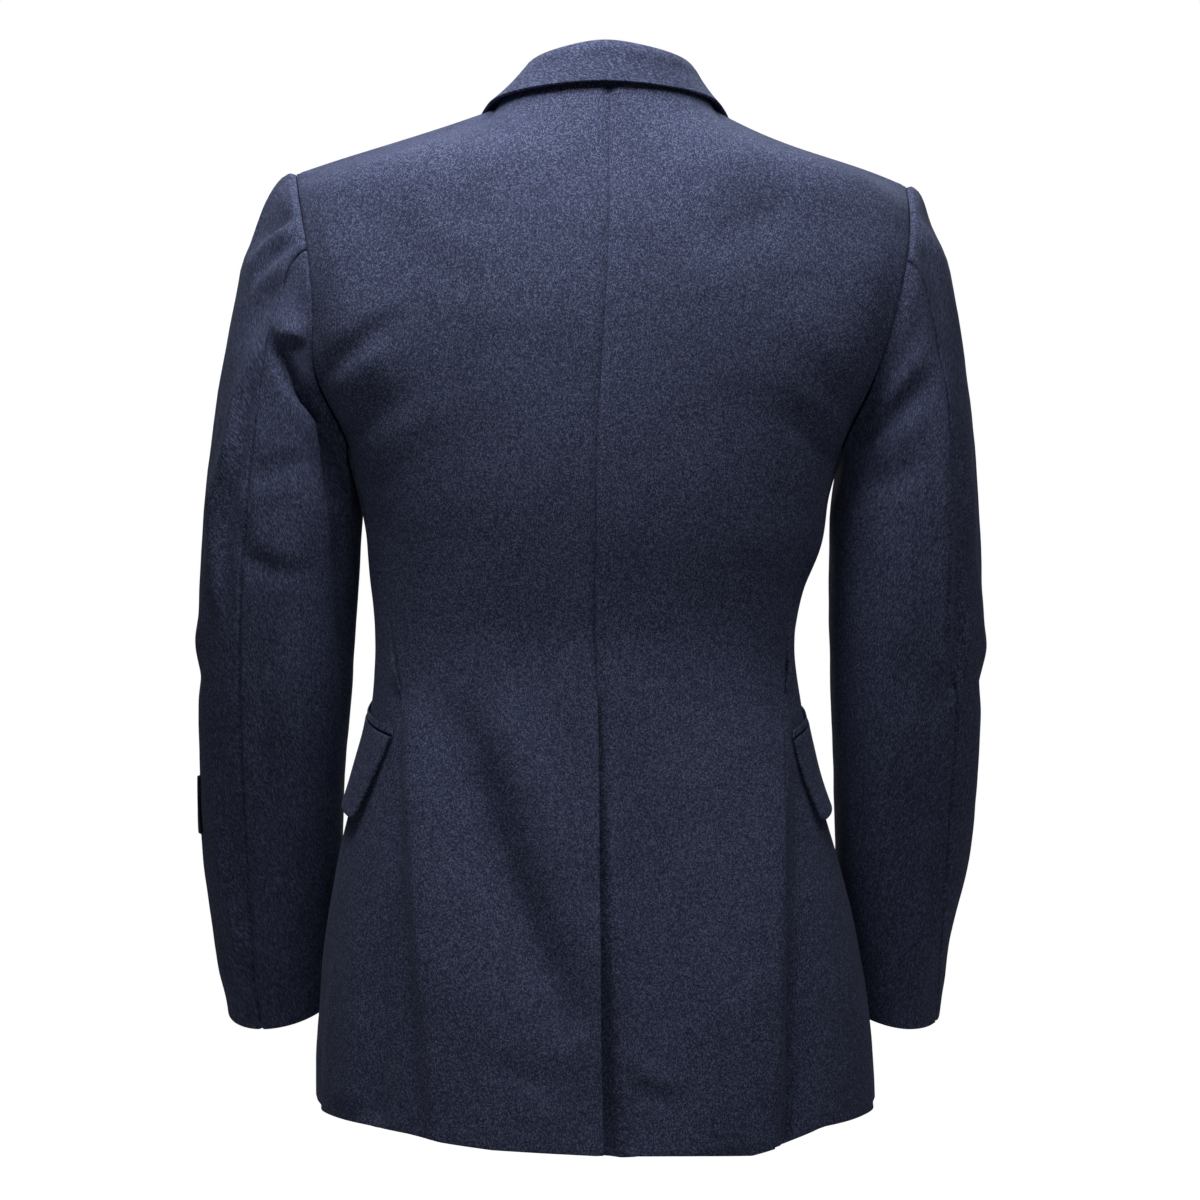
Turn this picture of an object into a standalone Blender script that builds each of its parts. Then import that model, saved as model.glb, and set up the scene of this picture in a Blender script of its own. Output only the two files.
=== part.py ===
# Military dress tunic on a hollow figure. Sizes are in millimetres, scaled to metres by MM.
# +Z is up, the front faces -Y and the wearer's left is +X. The origin is the middle of the
# neck opening, at the height of the seam below the collar.
import math
from collections import namedtuple

import bmesh
import bpy
import numpy as np
from mathutils import Vector, kdtree

MM = 0.001
WALL = 2.0
SEAM_GAP = 0.3
LAY_GAP = 0.4
CURVE_CLEAR = 1.3
RIGHT, LEFT = -1, 1
SIDE_NAME = {LEFT: "left", RIGHT: "right"}

# Body sections from the hem up to the armpits. left and right are the half widths at the
# sides, back and front the depths, square the exponent of the section's superellipse,
# seam the sideways place of the centre back seam. back_seam and front_seam are the angles of
# the side panel's two seams, from the centre back, for the left and the right side.
Ring = namedtuple("Ring", "z_back z_side z_front left right back front square seam "
                          "back_seam_left back_seam_right front_seam")
BODY = (
    Ring(-743, -725, -745, 205, 197, 137, 142, 2.3, -1, 46.7, 38.8, 113),
    Ring(-698, -690, -700, 204, 195, 131, 139, 2.3, 0, 45.0, 40.0, 113),
    Ring(-624, -620, -624, 199, 185, 121, 132, 2.3, 1, 45.5, 42.0, 112),
    Ring(-556, -554, -556, 190, 170, 110, 126, 2.3, 2, 45.0, 46.0, 112),
    Ring(-490, -490, -490, 175, 152, 101, 120, 2.3, 2, 48.8, 53.6, 112),
    Ring(-437, -437, -437, 165, 143, 95, 117, 2.3, 3, 54.2, 61.6, 112),
    Ring(-399, -400, -399, 163, 138, 94, 117, 2.3, 5, 60.0, 70.0, 112),
    Ring(-355, -357, -355, 164, 144, 99, 120, 2.3, 5, 67.0, 72.0, 110),
    Ring(-323, -325, -323, 168, 158, 104, 124, 2.3, 4, 72.0, 72.0, 108),
    Ring(-290, -292, -290, 175, 163, 108, 127, 2.3, 4, 75.0, 76.0, 107),
    Ring(-246, -257, -246, 184, 174, 110, 129, 2.3, 3, 76.0, 78.0, 105),
)

# How low the back of the hem hangs, by the angle from the centre back.
HemPoint = namedtuple("HemPoint", "angle left right")
HEM = (
    HemPoint(0, -743, -743),
    HemPoint(20, -740, -744),
    HemPoint(30, -736, -745),
    HemPoint(38, -732, -739),
    HemPoint(48, -729, -730),
    HemPoint(90, -725, -725),
)

# Sections above the armpits, each from the centre back, or from the front's edge, to the
# armhole. Columns give the centre back, then the armhole's back edge and front edge on
# the left side and on the right side, and last the chest's depth and height.
Yoke = namedtuple("Yoke", "z_back back seam back_edge_left front_edge_left "
                          "back_edge_right front_edge_right front z_front")
YOKE = (
    Yoke(-198, 110, 0, (202, 58, -207), (190, -60, -207),
         (-192, 56, -211), (-183, -60, -211), 129, -196),
    Yoke(-150, 107, -3, (203, 66, -160), (192, -66, -160),
         (-206, 65, -166), (-189, -66, -166), 122, -150),
    Yoke(-103, 99, -5, (208, 57, -120), (199, -58, -120),
         (-215, 57, -128), (-197, -58, -128), 108, -108),
    Yoke(-50, 82, -5, (215, 33, -86), (210, -36, -86),
         (-219, 33, -95), (-208, -36, -95), 88, -66),
)
YOKE_SQUARE = 2.2

NAPE_Z = 0
NECK_BACK = 64
NECK_HALF = 77
NECK_SIDE_Y = -6
NECK_SIDE_Z = -10
NECK_SHIFT = -1.5
SHOULDER_TIP = {LEFT: (221, -5, -58), RIGHT: (-220, -5, -67)}
SHOULDER_SAG = {LEFT: 2.5, RIGHT: 9.0}
SAG_TURN = 1.2
GORGE = (64, -44, -32)

FRONT_OVERLAP = 20
TOP_BUTTON_Z = -300
ROLL_FOOT_Z = -285

LAP_CLEAR = 2
LAP_STEP = 12

# Sleeve sections from the upper arm down to the cuff. outer and inner are the sideways
# places of its outer and inner face on each side, tilt how far its back hangs below its
# middle, lean how far its outside does, and seam the angle of the elbow seam from the back
# towards the outside.
SleeveRing = namedtuple("SleeveRing", "z outer_left inner_left outer_right inner_right "
                                      "y_back y_front tilt seam_left seam_right lean")
SLEEVE = (
    SleeveRing(-310, 288, 173, 273, 164.5, 59, -79, 4, 21, 29, 0),
    SleeveRing(-370, 292, 178, 276, 165, 50, -84, 8, 21, 24, 0),
    SleeveRing(-440, 293, 183, 276, 167, 36, -92, 12, 20, 33, 0),
    SleeveRing(-500, 294, 189, 274, 170, 18, -104, 16, 16, 32, 0),
    SleeveRing(-560, 291, 192, 268, 173, 0, -118, 18, 16, 34, 0),
    SleeveRing(-615, 286, 196, 256, 176, -16, -132, 17, 16, 50, 3),
    SleeveRing(-663, 279, 197, 252, 178, -32, -144, 16, 15, 56, 6),
)
SLEEVE_SQUARE = 2.2
BACK_SEAM_COLUMN = 4
FRONT_SEAM_COLUMN = 18
FRONT_SEAM_ANGLE = -135
CAP_STEPS = 6
CAP_START = 0.38
# The way the sleeve head leaves the seam, at the lowest and at the highest point of the
# armhole: sideways and upwards, and how much of it goes forwards between the two.
CAP_LEAVE = ((0.45, -0.85), (1.0, 0.2))
CAP_FORWARDS_BACK = 0.4
CAP_FORWARDS_FRONT = -0.5

# The slanted flaps, each from just past the back seam round to the front.
FLAP_TOP_Z = {LEFT: -463, RIGHT: -465}
FLAP_START = 9
FLAP_LENGTH = 160
FLAP_HEIGHT = 60
FLAP_RISE = 38
FLAP_SKEW = 31
FLAP_CORNER = 4
FLAP_CORNER_SHARE = 0.125
FLAP_SPRING = 3.4
FLAP_CURVE = 1.4
FLAP_ROWS = 4
FLAP_COLUMNS = 12
WELT_HEIGHT = 5
WELT_GAP = 1.5
WELT_OVERHANG = 2
WELT_WALL = 1.2

LOOP_TOP_Z = -404
LOOP_HEIGHT = 25
LOOP_WIDTH = 4
LOOP_WALL = 1.2
LOOP_SPRING = 2
LOOP_ROWS = 4

PATCH_TOP_Z = -495
PATCH_HEIGHT = 42
PATCH_WIDTH = 40
PATCH_COLUMN = 0
PATCH_REACH = 0
PATCH_WALL = 1.2
PATCH_CLEAR = 0.8
PATCH_ROWS = 3

BUTTON_RADIUS = 11
BUTTON_DEPTH = 5
BUTTON_ROUND = 2
BUTTON_STEP = 72
BUTTON_COUNT = 4

# The collar from the centre back to its front end: the neck seam, then how far out from it
# and up from it the fold and the edge of the leaf lie.
CollarRow = namedtuple("CollarRow", "x y z fold_out fold_up edge_out edge_up")
COLLAR = (
    CollarRow(0, 64, 0, -3, 24.6, 5.4, -4),
    CollarRow(38.5, 54.6, -1.1, -6, 21.5, 5.8, -5),
    CollarRow(66.7, 29, -4.4, -12.5, 20.5, 6.4, -5),
    CollarRow(77, -6, -10, -18, 21, 8, -3),
    CollarRow(71, -25, -21, -14, 16, 22, -1),
    CollarRow(64, -44, -32, -6, 8, 36, -10),
)
FOLD_RADIUS = 2.6
COLLAR_BOW = -0.8
# How much further out than in the table the fold stands beside the neck.
FOLD_SPREAD = {LEFT: -5.5, RIGHT: 3}
LEAF_SHARES = (0.35, 0.7)

LAPEL_START_ROW = {LEFT: 19, RIGHT: 21}
LAPEL_FOOT = 6
LAPEL_WIDTH = 74
LAPEL_LIFT = 1.2
LAPEL_CURVE = 0.8
LAPEL_COLUMNS = 4

VENT_TOP_ROW = 10
UNDERLAP_COLUMNS = 2
LAP_GAP = 0.8
LAP_TOP_Z = -205

TUNIC = "military_dress_tunic"
WOOL = (0.035, 0.048, 0.085)
BRASS = (0.60, 0.44, 0.18)

NECK_STEPS = 3
SHOULDER_STEPS = 6
GORGE_STEPS = 2
SIDE_STEPS = 6
ROW_STEPS = 2


# ---- Sections and lofts ----

def superellipse(angle, half, depth, square):
    """Sideways and depth coordinates at an angle in degrees from the depth axis."""
    across, along = math.sin(math.radians(angle)), math.cos(math.radians(angle))
    reach = (abs(across) ** square + abs(along) ** square) ** (-1 / square)
    return half * across * reach, depth * along * reach


def angle_at(offset, half, square):
    """Angle from the depth axis at which the superellipse has this sideways offset."""
    share = min(abs(offset) / half, 1.0)
    depth = (1 - share ** square) ** (1 / square)
    return math.copysign(math.degrees(math.atan2(share, depth)), offset)


def ring_point(ring, angle, side):
    """A point of a body section, at an angle from the centre back towards the side."""
    middle, half = (ring.left - ring.right) / 2, (ring.left + ring.right) / 2
    depth = ring.back if math.cos(math.radians(angle)) > 0 else ring.front
    x, y = superellipse(angle, half, depth, ring.square)
    end_z = ring.z_back if y > 0 else ring.z_front
    z = ring.z_side + (end_z - ring.z_side) * math.cos(math.radians(angle)) ** 2
    if ring is BODY[0] and y > 0:
        heights = [point.left if side == LEFT else point.right for point in HEM]
        z = np.interp(abs(angle), [point.angle for point in HEM], heights)
    return (middle + side * x, y, z)


def ring_angle(ring, x, side, at_front):
    """Angle of the ring's point with this x, towards the side, at the back or the front."""
    middle, half = (ring.left - ring.right) / 2, (ring.left + ring.right) / 2
    angle = angle_at(side * (x - middle), half, ring.square)
    return 180 - angle if at_front else angle


def back_seam_angle(ring, side):
    return ring.back_seam_left if side == LEFT else ring.back_seam_right


def front_edge_x(z, side):
    """Where the front's edge lies: past the middle below, then along the lapel's roll."""
    rise = np.clip((z - ROLL_FOOT_Z) / (GORGE[2] - ROLL_FOOT_Z), 0, 1)
    return side * (-FRONT_OVERLAP + (GORGE[0] + FRONT_OVERLAP) * rise)


def arc_between(start_x, edge, depth, shares):
    """Points on the superellipse that has this depth at x = 0 and passes the edge."""
    side = math.copysign(1, edge[0])
    spread = (1 - (abs(edge[1]) / abs(depth)) ** YOKE_SQUARE) ** (1 / YOKE_SQUARE)
    half = abs(edge[0]) / spread
    first = angle_at(side * start_x, half, YOKE_SQUARE)
    last = angle_at(abs(edge[0]), half, YOKE_SQUARE)
    found = []
    for share in shares:
        x, y = superellipse(first + (last - first) * share, half, depth, YOKE_SQUARE)
        found.append((side * x, y))
    return found


def yoke_section(start_x, start_z, edge, depth, shares):
    """A section from the body's middle to the armhole, falling towards the armhole."""
    points = []
    for share, (x, y) in zip(shares, arc_between(start_x, edge, depth, shares)):
        points.append((x, y, start_z + (edge[2] - start_z) * share ** 2))
    return points


def even(steps):
    return [step / steps for step in range(steps + 1)]


def shoulder_seam(side):
    """Points from the side of the neck to the shoulder tip, sagging a little between."""
    start = np.array((side * NECK_HALF + NECK_SHIFT, NECK_SIDE_Y, NECK_SIDE_Z), float)
    tip = np.array(SHOULDER_TIP[side], float)
    points = []
    for share in even(SHOULDER_STEPS):
        point = start + (tip - start) * share
        point[2] -= SHOULDER_SAG[side] * math.sin(math.pi * share) * (1 - SAG_TURN * share)
        points.append(tuple(point))
    return points


def neck_arc(side):
    """The back of the neck seam, from the centre to the side of the neck."""
    points = []
    for share in even(NECK_STEPS):
        turn = share * math.pi / 2
        middle = YOKE[-1].seam + (NECK_SHIFT - YOKE[-1].seam) * share
        points.append((side * NECK_HALF * math.sin(turn) + middle,
                       NECK_SIDE_Y + (NECK_BACK - NECK_SIDE_Y) * math.cos(turn),
                       NAPE_Z + (NECK_SIDE_Z - NAPE_Z) * share ** 2))
    return points


def loft(sections, steps):
    """Sections joined by smooth curves, with this many steps from each to the next."""
    keys = np.array(sections, float)
    gaps = np.linalg.norm(np.diff(keys, axis=0), axis=2).mean(axis=1)
    speeds = np.diff(keys, axis=0) / gaps[:, None, None]
    slopes = np.empty_like(keys)
    slopes[0], slopes[-1] = speeds[0], speeds[-1]
    for index in range(1, len(keys) - 1):
        before, after = gaps[index - 1], gaps[index]
        slopes[index] = (speeds[index] * before + speeds[index - 1] * after) / (before + after)
    rows = []
    for index, gap in enumerate(gaps):
        for share in even(steps)[:-1]:
            rows.append((2 * share ** 3 - 3 * share ** 2 + 1) * keys[index]
                        + (share ** 3 - 2 * share ** 2 + share) * gap * slopes[index]
                        + (3 * share ** 2 - 2 * share ** 3) * keys[index + 1]
                        + (share ** 3 - share ** 2) * gap * slopes[index + 1])
    rows.append(keys[-1])
    return np.array(rows)


# ---- The body's three panels on each side ----

def back_sections(side):
    """From the hem to the neck seam, each from the centre back to the side."""
    shares = even(NECK_STEPS + SHOULDER_STEPS)
    sections = []
    for ring in BODY:
        first = ring_angle(ring, ring.seam, side, at_front=False)
        last = back_seam_angle(ring, side)
        sections.append([ring_point(ring, first + (last - first) * share, side)
                         for share in shares])
    for yoke in YOKE:
        edge = yoke.back_edge_left if side == LEFT else yoke.back_edge_right
        sections.append(yoke_section(yoke.seam, yoke.z_back, edge, yoke.back, shares))
    sections.append(neck_arc(side)[:-1] + shoulder_seam(side))
    return sections


def side_sections(side):
    """From the hem to the bottom of the armhole, each from the back seam to the front's."""
    sections = []
    for ring in BODY:
        first, last = back_seam_angle(ring, side), ring.front_seam
        sections.append([ring_point(ring, first + (last - first) * share, side)
                         for share in even(SIDE_STEPS)])
    return sections


def front_shares(ring, side, width_steps):
    """Shares of the way from the front's edge to its side seam, at this section's columns."""
    first = ring_angle(ring, front_edge_x(ring.z_front, side), side, at_front=True)
    last = ring.front_seam
    other_edge = front_edge_x(ring.z_front, -side)
    tucked = [ring_angle(ring, other_edge + side * step, side, at_front=True)
              for step in (LAP_CLEAR, LAP_CLEAR + LAP_STEP)]
    rest = [tucked[1] + (last - tucked[1]) * share for share in even(width_steps)[1:]]
    return [first] + tucked + rest


def front_sections(side):
    """From the hem to the shoulder seam, each from the front's edge to the side."""
    sections = []
    for ring in BODY:
        sections.append([ring_point(ring, angle, side)
                         for angle in front_shares(ring, side, SHOULDER_STEPS)])
    for yoke in YOKE:
        edge = yoke.front_edge_left if side == LEFT else yoke.front_edge_right
        start_x = front_edge_x(yoke.z_front, side)
        sections.append(yoke_section(start_x, yoke.z_front, edge, -yoke.front,
                                     even(GORGE_STEPS + SHOULDER_STEPS)))
    gorge = np.array((side * GORGE[0], GORGE[1], GORGE[2]), float)
    neck_side = np.array((side * NECK_HALF + NECK_SHIFT, NECK_SIDE_Y, NECK_SIDE_Z), float)
    gorge_seam = [tuple(gorge + (neck_side - gorge) * share)
                  for share in even(GORGE_STEPS)[:-1]]
    sections.append(gorge_seam + shoulder_seam(side))
    return sections


# ---- The sleeves ----

def armhole_loop(back, side_panel, front):
    """The seam around the armhole: down its back edge, below the arm, up its front edge."""
    corner = (len(BODY) - 1) * ROW_STEPS
    down = back[:corner - 1:-1, -1]
    below = side_panel[-1, 1:-1]
    up = front[corner:-1, -1]
    return np.concatenate([down, below, up])


def share_along(points):
    """How far along the line of points each one lies, from 0 to 1."""
    lengths = np.concatenate([[0], np.cumsum(np.linalg.norm(np.diff(points, axis=0), axis=1))])
    return lengths / lengths[-1]


def sleeve_angles(loop, seam):
    """An angle for each point of the loop, from the back towards the outside, so that
    the two long seams run down the columns where they leave the armhole."""
    closed = np.concatenate([loop, loop, loop[:1]])
    under = share_along(closed[BACK_SEAM_COLUMN:FRONT_SEAM_COLUMN + 1])
    outer = share_along(closed[FRONT_SEAM_COLUMN:len(loop) + BACK_SEAM_COLUMN + 1])
    angles = np.empty(len(loop))
    for step, share in enumerate(under):
        angles[BACK_SEAM_COLUMN + step] = seam + (FRONT_SEAM_ANGLE - seam) * share
    for step, share in enumerate(outer[:-1]):
        angle = FRONT_SEAM_ANGLE + (seam - 360 - FRONT_SEAM_ANGLE) * share
        angles[(FRONT_SEAM_COLUMN + step) % len(loop)] = angle
    return angles


def sleeve_ring(row, side, loop):
    outer = row.outer_left if side == LEFT else row.outer_right
    inner = row.inner_left if side == LEFT else row.inner_right
    seam = row.seam_left if side == LEFT else row.seam_right
    points = []
    for angle in sleeve_angles(loop, seam):
        across, along = superellipse(angle, (outer - inner) / 2,
                                     (row.y_back - row.y_front) / 2, SLEEVE_SQUARE)
        points.append((side * ((outer + inner) / 2 + across),
                       (row.y_back + row.y_front) / 2 + along,
                       row.z - row.tilt * math.cos(math.radians(angle))
                       - row.lean * math.sin(math.radians(angle))))
    return np.array(points)


def sleeve_cap(loop, ring, below, side):
    """The head of the sleeve: a curve from each armhole point down to the first ring."""
    lowest, highest = loop[:, 2].min(), loop[:, 2].max()
    rows = [[] for _ in range(CAP_STEPS)]
    for start, end, after in zip(loop, ring, below):
        height = (start[2] - lowest) / (highest - lowest)
        bulge = 4 * height * (1 - height)
        sideways, upward = np.array(CAP_LEAVE[0]) * (1 - height) + np.array(CAP_LEAVE[1]) * height
        forwards = CAP_FORWARDS_BACK if start[1] > 0 else CAP_FORWARDS_FRONT
        leave = np.array((side * sideways, forwards * bulge, upward))
        distance = np.linalg.norm(end - start)
        leave *= CAP_START * distance / np.linalg.norm(leave)
        arrive = (after - end) / np.linalg.norm(after - end) * distance
        for row, share in zip(rows, even(CAP_STEPS)):
            row.append((2 * share ** 3 - 3 * share ** 2 + 1) * start
                       + (share ** 3 - 2 * share ** 2 + share) * leave
                       + (3 * share ** 2 - 2 * share ** 3) * end
                       + (share ** 3 - share ** 2) * arrive)
    return np.array(rows)


def sleeve_grid(loop, side):
    """All rows of one sleeve, from the armhole to the open cuff."""
    tube = loft([sleeve_ring(row, side, loop) for row in SLEEVE], ROW_STEPS)
    return np.concatenate([sleeve_cap(loop, tube[0], tube[1], side), tube])


# ---- Cloth with a real wall ----

class Sheet:
    """A grid of points on the garment's outer face, with the outward direction at each."""

    def __init__(self, points, flip, outward=None):
        self.points, self.flip, self.outward = np.array(points, float), flip, outward

    def quads(self):
        rows, columns = self.points.shape[:2]
        for row in range(rows - 1):
            for column in range(columns - 1):
                corners = [(row, column), (row, column + 1),
                           (row + 1, column + 1), (row + 1, column)]
                if not np.isnan([self.points[corner] for corner in corners]).any():
                    yield corners[::-1] if self.flip else corners


def find_outward(sheets):
    """Welds the sheets at their seams and gives each point the direction they share there."""
    form = bmesh.new()
    for sheet in sheets:
        verts = {}
        for corners in sheet.quads():
            for corner in corners:
                if corner not in verts:
                    verts[corner] = form.verts.new(sheet.points[corner])
            form.faces.new([verts[corner] for corner in corners])
    bmesh.ops.remove_doubles(form, verts=form.verts, dist=0.01)
    form.normal_update()
    form.verts.ensure_lookup_table()
    tree = kdtree.KDTree(len(form.verts))
    for vert in form.verts:
        tree.insert(vert.co, vert.index)
    tree.balance()
    normals = [np.array(vert.normal) for vert in form.verts]
    for sheet in sheets:
        sheet.outward = np.empty_like(sheet.points)
        for corner in np.ndindex(sheet.points.shape[:2]):
            sheet.outward[corner] = normals[tree.find(sheet.points[corner])[1]]
    form.free()


def parted(sheet):
    """The same sheet, drawn back from all its edges by half of a seam's gap."""
    points = sheet.points.copy()
    for edge, inner in ((0, 1), (-1, -2)):
        step = points[inner] - points[edge]
        points[edge] += step / np.linalg.norm(step, axis=1)[:, None] * SEAM_GAP / 2
    for edge, inner in ((0, 1), (-1, -2)):
        step = points[:, inner] - points[:, edge]
        points[:, edge] += step / np.linalg.norm(step, axis=1)[:, None] * SEAM_GAP / 2
    return Sheet(points, sheet.flip, sheet.outward)


def lifted(sheet, height):
    """The same sheet, moved along its outward directions."""
    height = np.broadcast_to(np.asarray(height, float), sheet.points.shape[:2])
    return Sheet(sheet.points + sheet.outward * height[..., None], sheet.flip, sheet.outward)


def plain_material(name, colour, roughness, metallic=0.0):
    material = bpy.data.materials.new(name)
    material.use_nodes = True
    shader = material.node_tree.nodes["Principled BSDF"]
    shader.inputs["Base Color"].default_value = (*colour, 1.0)
    shader.inputs["Roughness"].default_value = roughness
    shader.inputs["Metallic"].default_value = metallic
    return material


def add_cloth(name, sheet, colour=None, wall=WALL):
    """One closed piece of cloth: the sheet's inner face, extruded outwards by the wall."""
    bm = bmesh.new()
    step_out = bm.verts.layers.float_vector.new("step_out")
    verts = {}
    for corners in sheet.quads():
        for corner in corners:
            if corner not in verts:
                outward = Vector(sheet.outward[corner]) * wall
                verts[corner] = bm.verts.new((Vector(sheet.points[corner]) - outward) * MM)
                verts[corner][step_out] = outward * MM
        bm.faces.new([verts[corner] for corner in corners])
    made = bmesh.ops.extrude_face_region(bm, geom=bm.faces[:], use_keep_orig=True)
    for vert in made["geom"]:
        if isinstance(vert, bmesh.types.BMVert):
            vert.co += vert[step_out]
    bmesh.ops.recalc_face_normals(bm, faces=bm.faces[:])
    mesh = bpy.data.meshes.new(name)
    bm.to_mesh(mesh)
    bm.free()
    mesh.shade_smooth()
    mesh.set_sharp_from_angle(angle=math.radians(50))
    piece = bpy.data.objects.new(name, mesh)
    mesh.materials.append(plain_material(name, colour or WOOL, 0.9))
    bpy.data.collections[TUNIC].objects.link(piece)
    return piece


# ---- Pieces that lie on the cloth ----

def across_at(sheet, z):
    """The sheet's points and outward directions where its columns cross this height."""
    points, outward = [], []
    for column in range(sheet.points.shape[1]):
        line, aim = sheet.points[:, column], sheet.outward[:, column]
        row = np.searchsorted(line[:, 2], z)
        share = (z - line[row - 1, 2]) / (line[row, 2] - line[row - 1, 2])
        points.append(line[row - 1] + (line[row] - line[row - 1]) * share)
        outward.append(aim[row - 1] + (aim[row] - aim[row - 1]) * share)
    return np.array(points), np.array(outward)


def lay(sheet, start_column, places, lift, flip):
    """A new sheet lying on this one. Each place is a height and a reach along the cloth
    from the start column, and each is lifted by its own amount."""
    found = np.empty((*places.shape[:2], 3))
    outward = np.empty_like(found)
    for corner in np.ndindex(places.shape[:2]):
        z, reach = places[corner]
        line, aim = across_at(sheet, z)
        lengths = np.concatenate([[0], np.cumsum(np.linalg.norm(np.diff(line, axis=0), axis=1))])
        lengths -= lengths[start_column]
        found[corner] = [np.interp(reach, lengths, line[:, axis]) for axis in range(3)]
        aimed = np.array([np.interp(reach, lengths, aim[:, axis]) for axis in range(3)])
        outward[corner] = aimed / np.linalg.norm(aimed)
    laid = Sheet(found, flip, outward)
    return lifted(laid, lift)


def around_side(side_panel, front):
    """The side panel and the front in one sheet, from the back seam to the front's edge."""
    rows = len(side_panel.points)
    points = np.concatenate([side_panel.points, front.points[:rows, -2::-1]], axis=1)
    outward = np.concatenate([side_panel.outward, front.outward[:rows, -2::-1]], axis=1)
    return Sheet(points, side_panel.flip, outward)


def around_back(back, side_panel):
    """The back and the side panel in one sheet, from the centre back to the front seam."""
    rows = len(side_panel.points)
    points = np.concatenate([back.points[:rows], side_panel.points[:, 1:]], axis=1)
    outward = np.concatenate([back.outward[:rows], side_panel.outward[:, 1:]], axis=1)
    return Sheet(points, back.flip, outward)


def grid_places(down, along, place):
    """Heights and reaches for a grid of shares down and along a piece."""
    return np.array([[place(low, far) for far in along] for low in down])


def flap_sheet(side, around):
    def place(low, far):
        reach = FLAP_START + FLAP_SKEW * low + FLAP_LENGTH * far
        near_end = max(0, 1 - min(far, 1 - far) / FLAP_CORNER_SHARE)
        drop = (FLAP_HEIGHT - FLAP_CORNER * near_end ** 2) * low
        return FLAP_TOP_Z[side] + FLAP_RISE * far - drop, reach

    down = even(FLAP_ROWS)
    lift = [[CURVE_CLEAR + WALL + FLAP_SPRING * low ** FLAP_CURVE] * (FLAP_COLUMNS + 1) for low in down]
    return lay(around, 0, grid_places(down, even(FLAP_COLUMNS), place), lift, side == RIGHT)


def welt_sheet(side, around):
    def place(low, far):
        reach = FLAP_START + WELT_OVERHANG * (2 * far - 1) + FLAP_LENGTH * far
        top = FLAP_TOP_Z[side] + FLAP_RISE * far + WELT_HEIGHT + WELT_GAP
        return top - WELT_HEIGHT * low, reach

    lift = CURVE_CLEAR + WELT_WALL
    return lay(around, 0, grid_places((0, 1), even(FLAP_COLUMNS), place), lift, side == RIGHT)


def loop_sheet(side, around_back):
    def place(low, far):
        return LOOP_TOP_Z - LOOP_HEIGHT * low, LOOP_WIDTH * (far - 0.5)

    down = even(LOOP_ROWS)
    lift = [[LAY_GAP + LOOP_WALL + LOOP_SPRING * math.sin(math.pi * low)] * 2 for low in down]
    start = NECK_STEPS + SHOULDER_STEPS
    return lay(around_back, start, grid_places(down, (0, 1), place), lift, side == RIGHT)


def patch_sheet(sleeve):
    """The small patch on the outside of a forearm."""
    upward = Sheet(sleeve.points[::-1], not sleeve.flip, sleeve.outward[::-1])

    def place(low, far):
        return PATCH_TOP_Z - PATCH_HEIGHT * low, PATCH_REACH + PATCH_WIDTH * (far - 0.5)

    places = grid_places(even(PATCH_ROWS), even(PATCH_ROWS), place)
    return lay(upward, PATCH_COLUMN, places, PATCH_CLEAR + PATCH_WALL, flip=True)


def lapel_sheet(front, side):
    """The turned lapel, lying on the front from the roll line outwards."""
    first, last = LAPEL_START_ROW[side], len(front.points) - 2
    points, outward = [], []
    for row in range(first, last + 1):
        line, aim = front.points[row], front.outward[row]
        lengths = np.concatenate([[0], np.cumsum(np.linalg.norm(np.diff(line, axis=0), axis=1))])
        share = (row - first) / (last - first)
        width = LAPEL_FOOT + (LAPEL_WIDTH - LAPEL_FOOT) * share ** LAPEL_CURVE
        reaches = [width * far for far in even(LAPEL_COLUMNS)]
        points.append(np.transpose([np.interp(reaches, lengths, line[:, axis])
                                    for axis in range(3)]))
        outward.append(np.transpose([np.interp(reaches, lengths, aim[:, axis])
                                     for axis in range(3)]))
    laid = Sheet(points, side == RIGHT, np.array(outward))
    return lifted(laid, LAPEL_LIFT + WALL)


def collar_section(row, side):
    """From the foot of the stand, up over the fold and down to the edge of the leaf."""
    away = np.array((side * row.x, row.y - NECK_SIDE_Y, 0), float)
    neck = np.array((side * row.x + NECK_SHIFT, row.y, row.z), float)
    away = away / np.linalg.norm(away)
    foot = (-WALL - SEAM_GAP, 2 * SEAM_GAP)
    fold = (row.fold_out + FOLD_SPREAD[side] * row.x / NECK_HALF, row.fold_up)
    edge = (row.edge_out, row.edge_up)
    inside = (fold[0] - FOLD_RADIUS, fold[1] - FOLD_RADIUS)
    outside = (fold[0] + FOLD_RADIUS, fold[1] - FOLD_RADIUS)

    def between(start, end, share, bow):
        return (start[0] + (end[0] - start[0]) * share, start[1] + (end[1] - start[1]) * share + bow)

    leaf = [between(outside, edge, share, COLLAR_BOW) for share in LEAF_SHARES]
    profile = [foot, between(foot, inside, 0.5, 0), inside, fold, outside, *leaf, edge]
    return [neck + away * out + np.array((0, 0, up)) for out, up in profile]


def collar_sheet():
    left = [collar_section(row, LEFT) for row in COLLAR]
    right = [collar_section(row, RIGHT) for row in COLLAR[:0:-1]]
    strip = Sheet(loft(right + left, ROW_STEPS), flip=False)
    find_outward([strip])
    return strip


# ---- The garment ----

def recess_under(sheet, past_edge):
    """Lets the cloth sink below the piece that laps over it. past_edge is how far each
    point lies under that piece."""
    depth = np.clip(past_edge / LAP_STEP + 1, 0, 1)
    return lifted(sheet, -(WALL + LAP_GAP) * depth)


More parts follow.
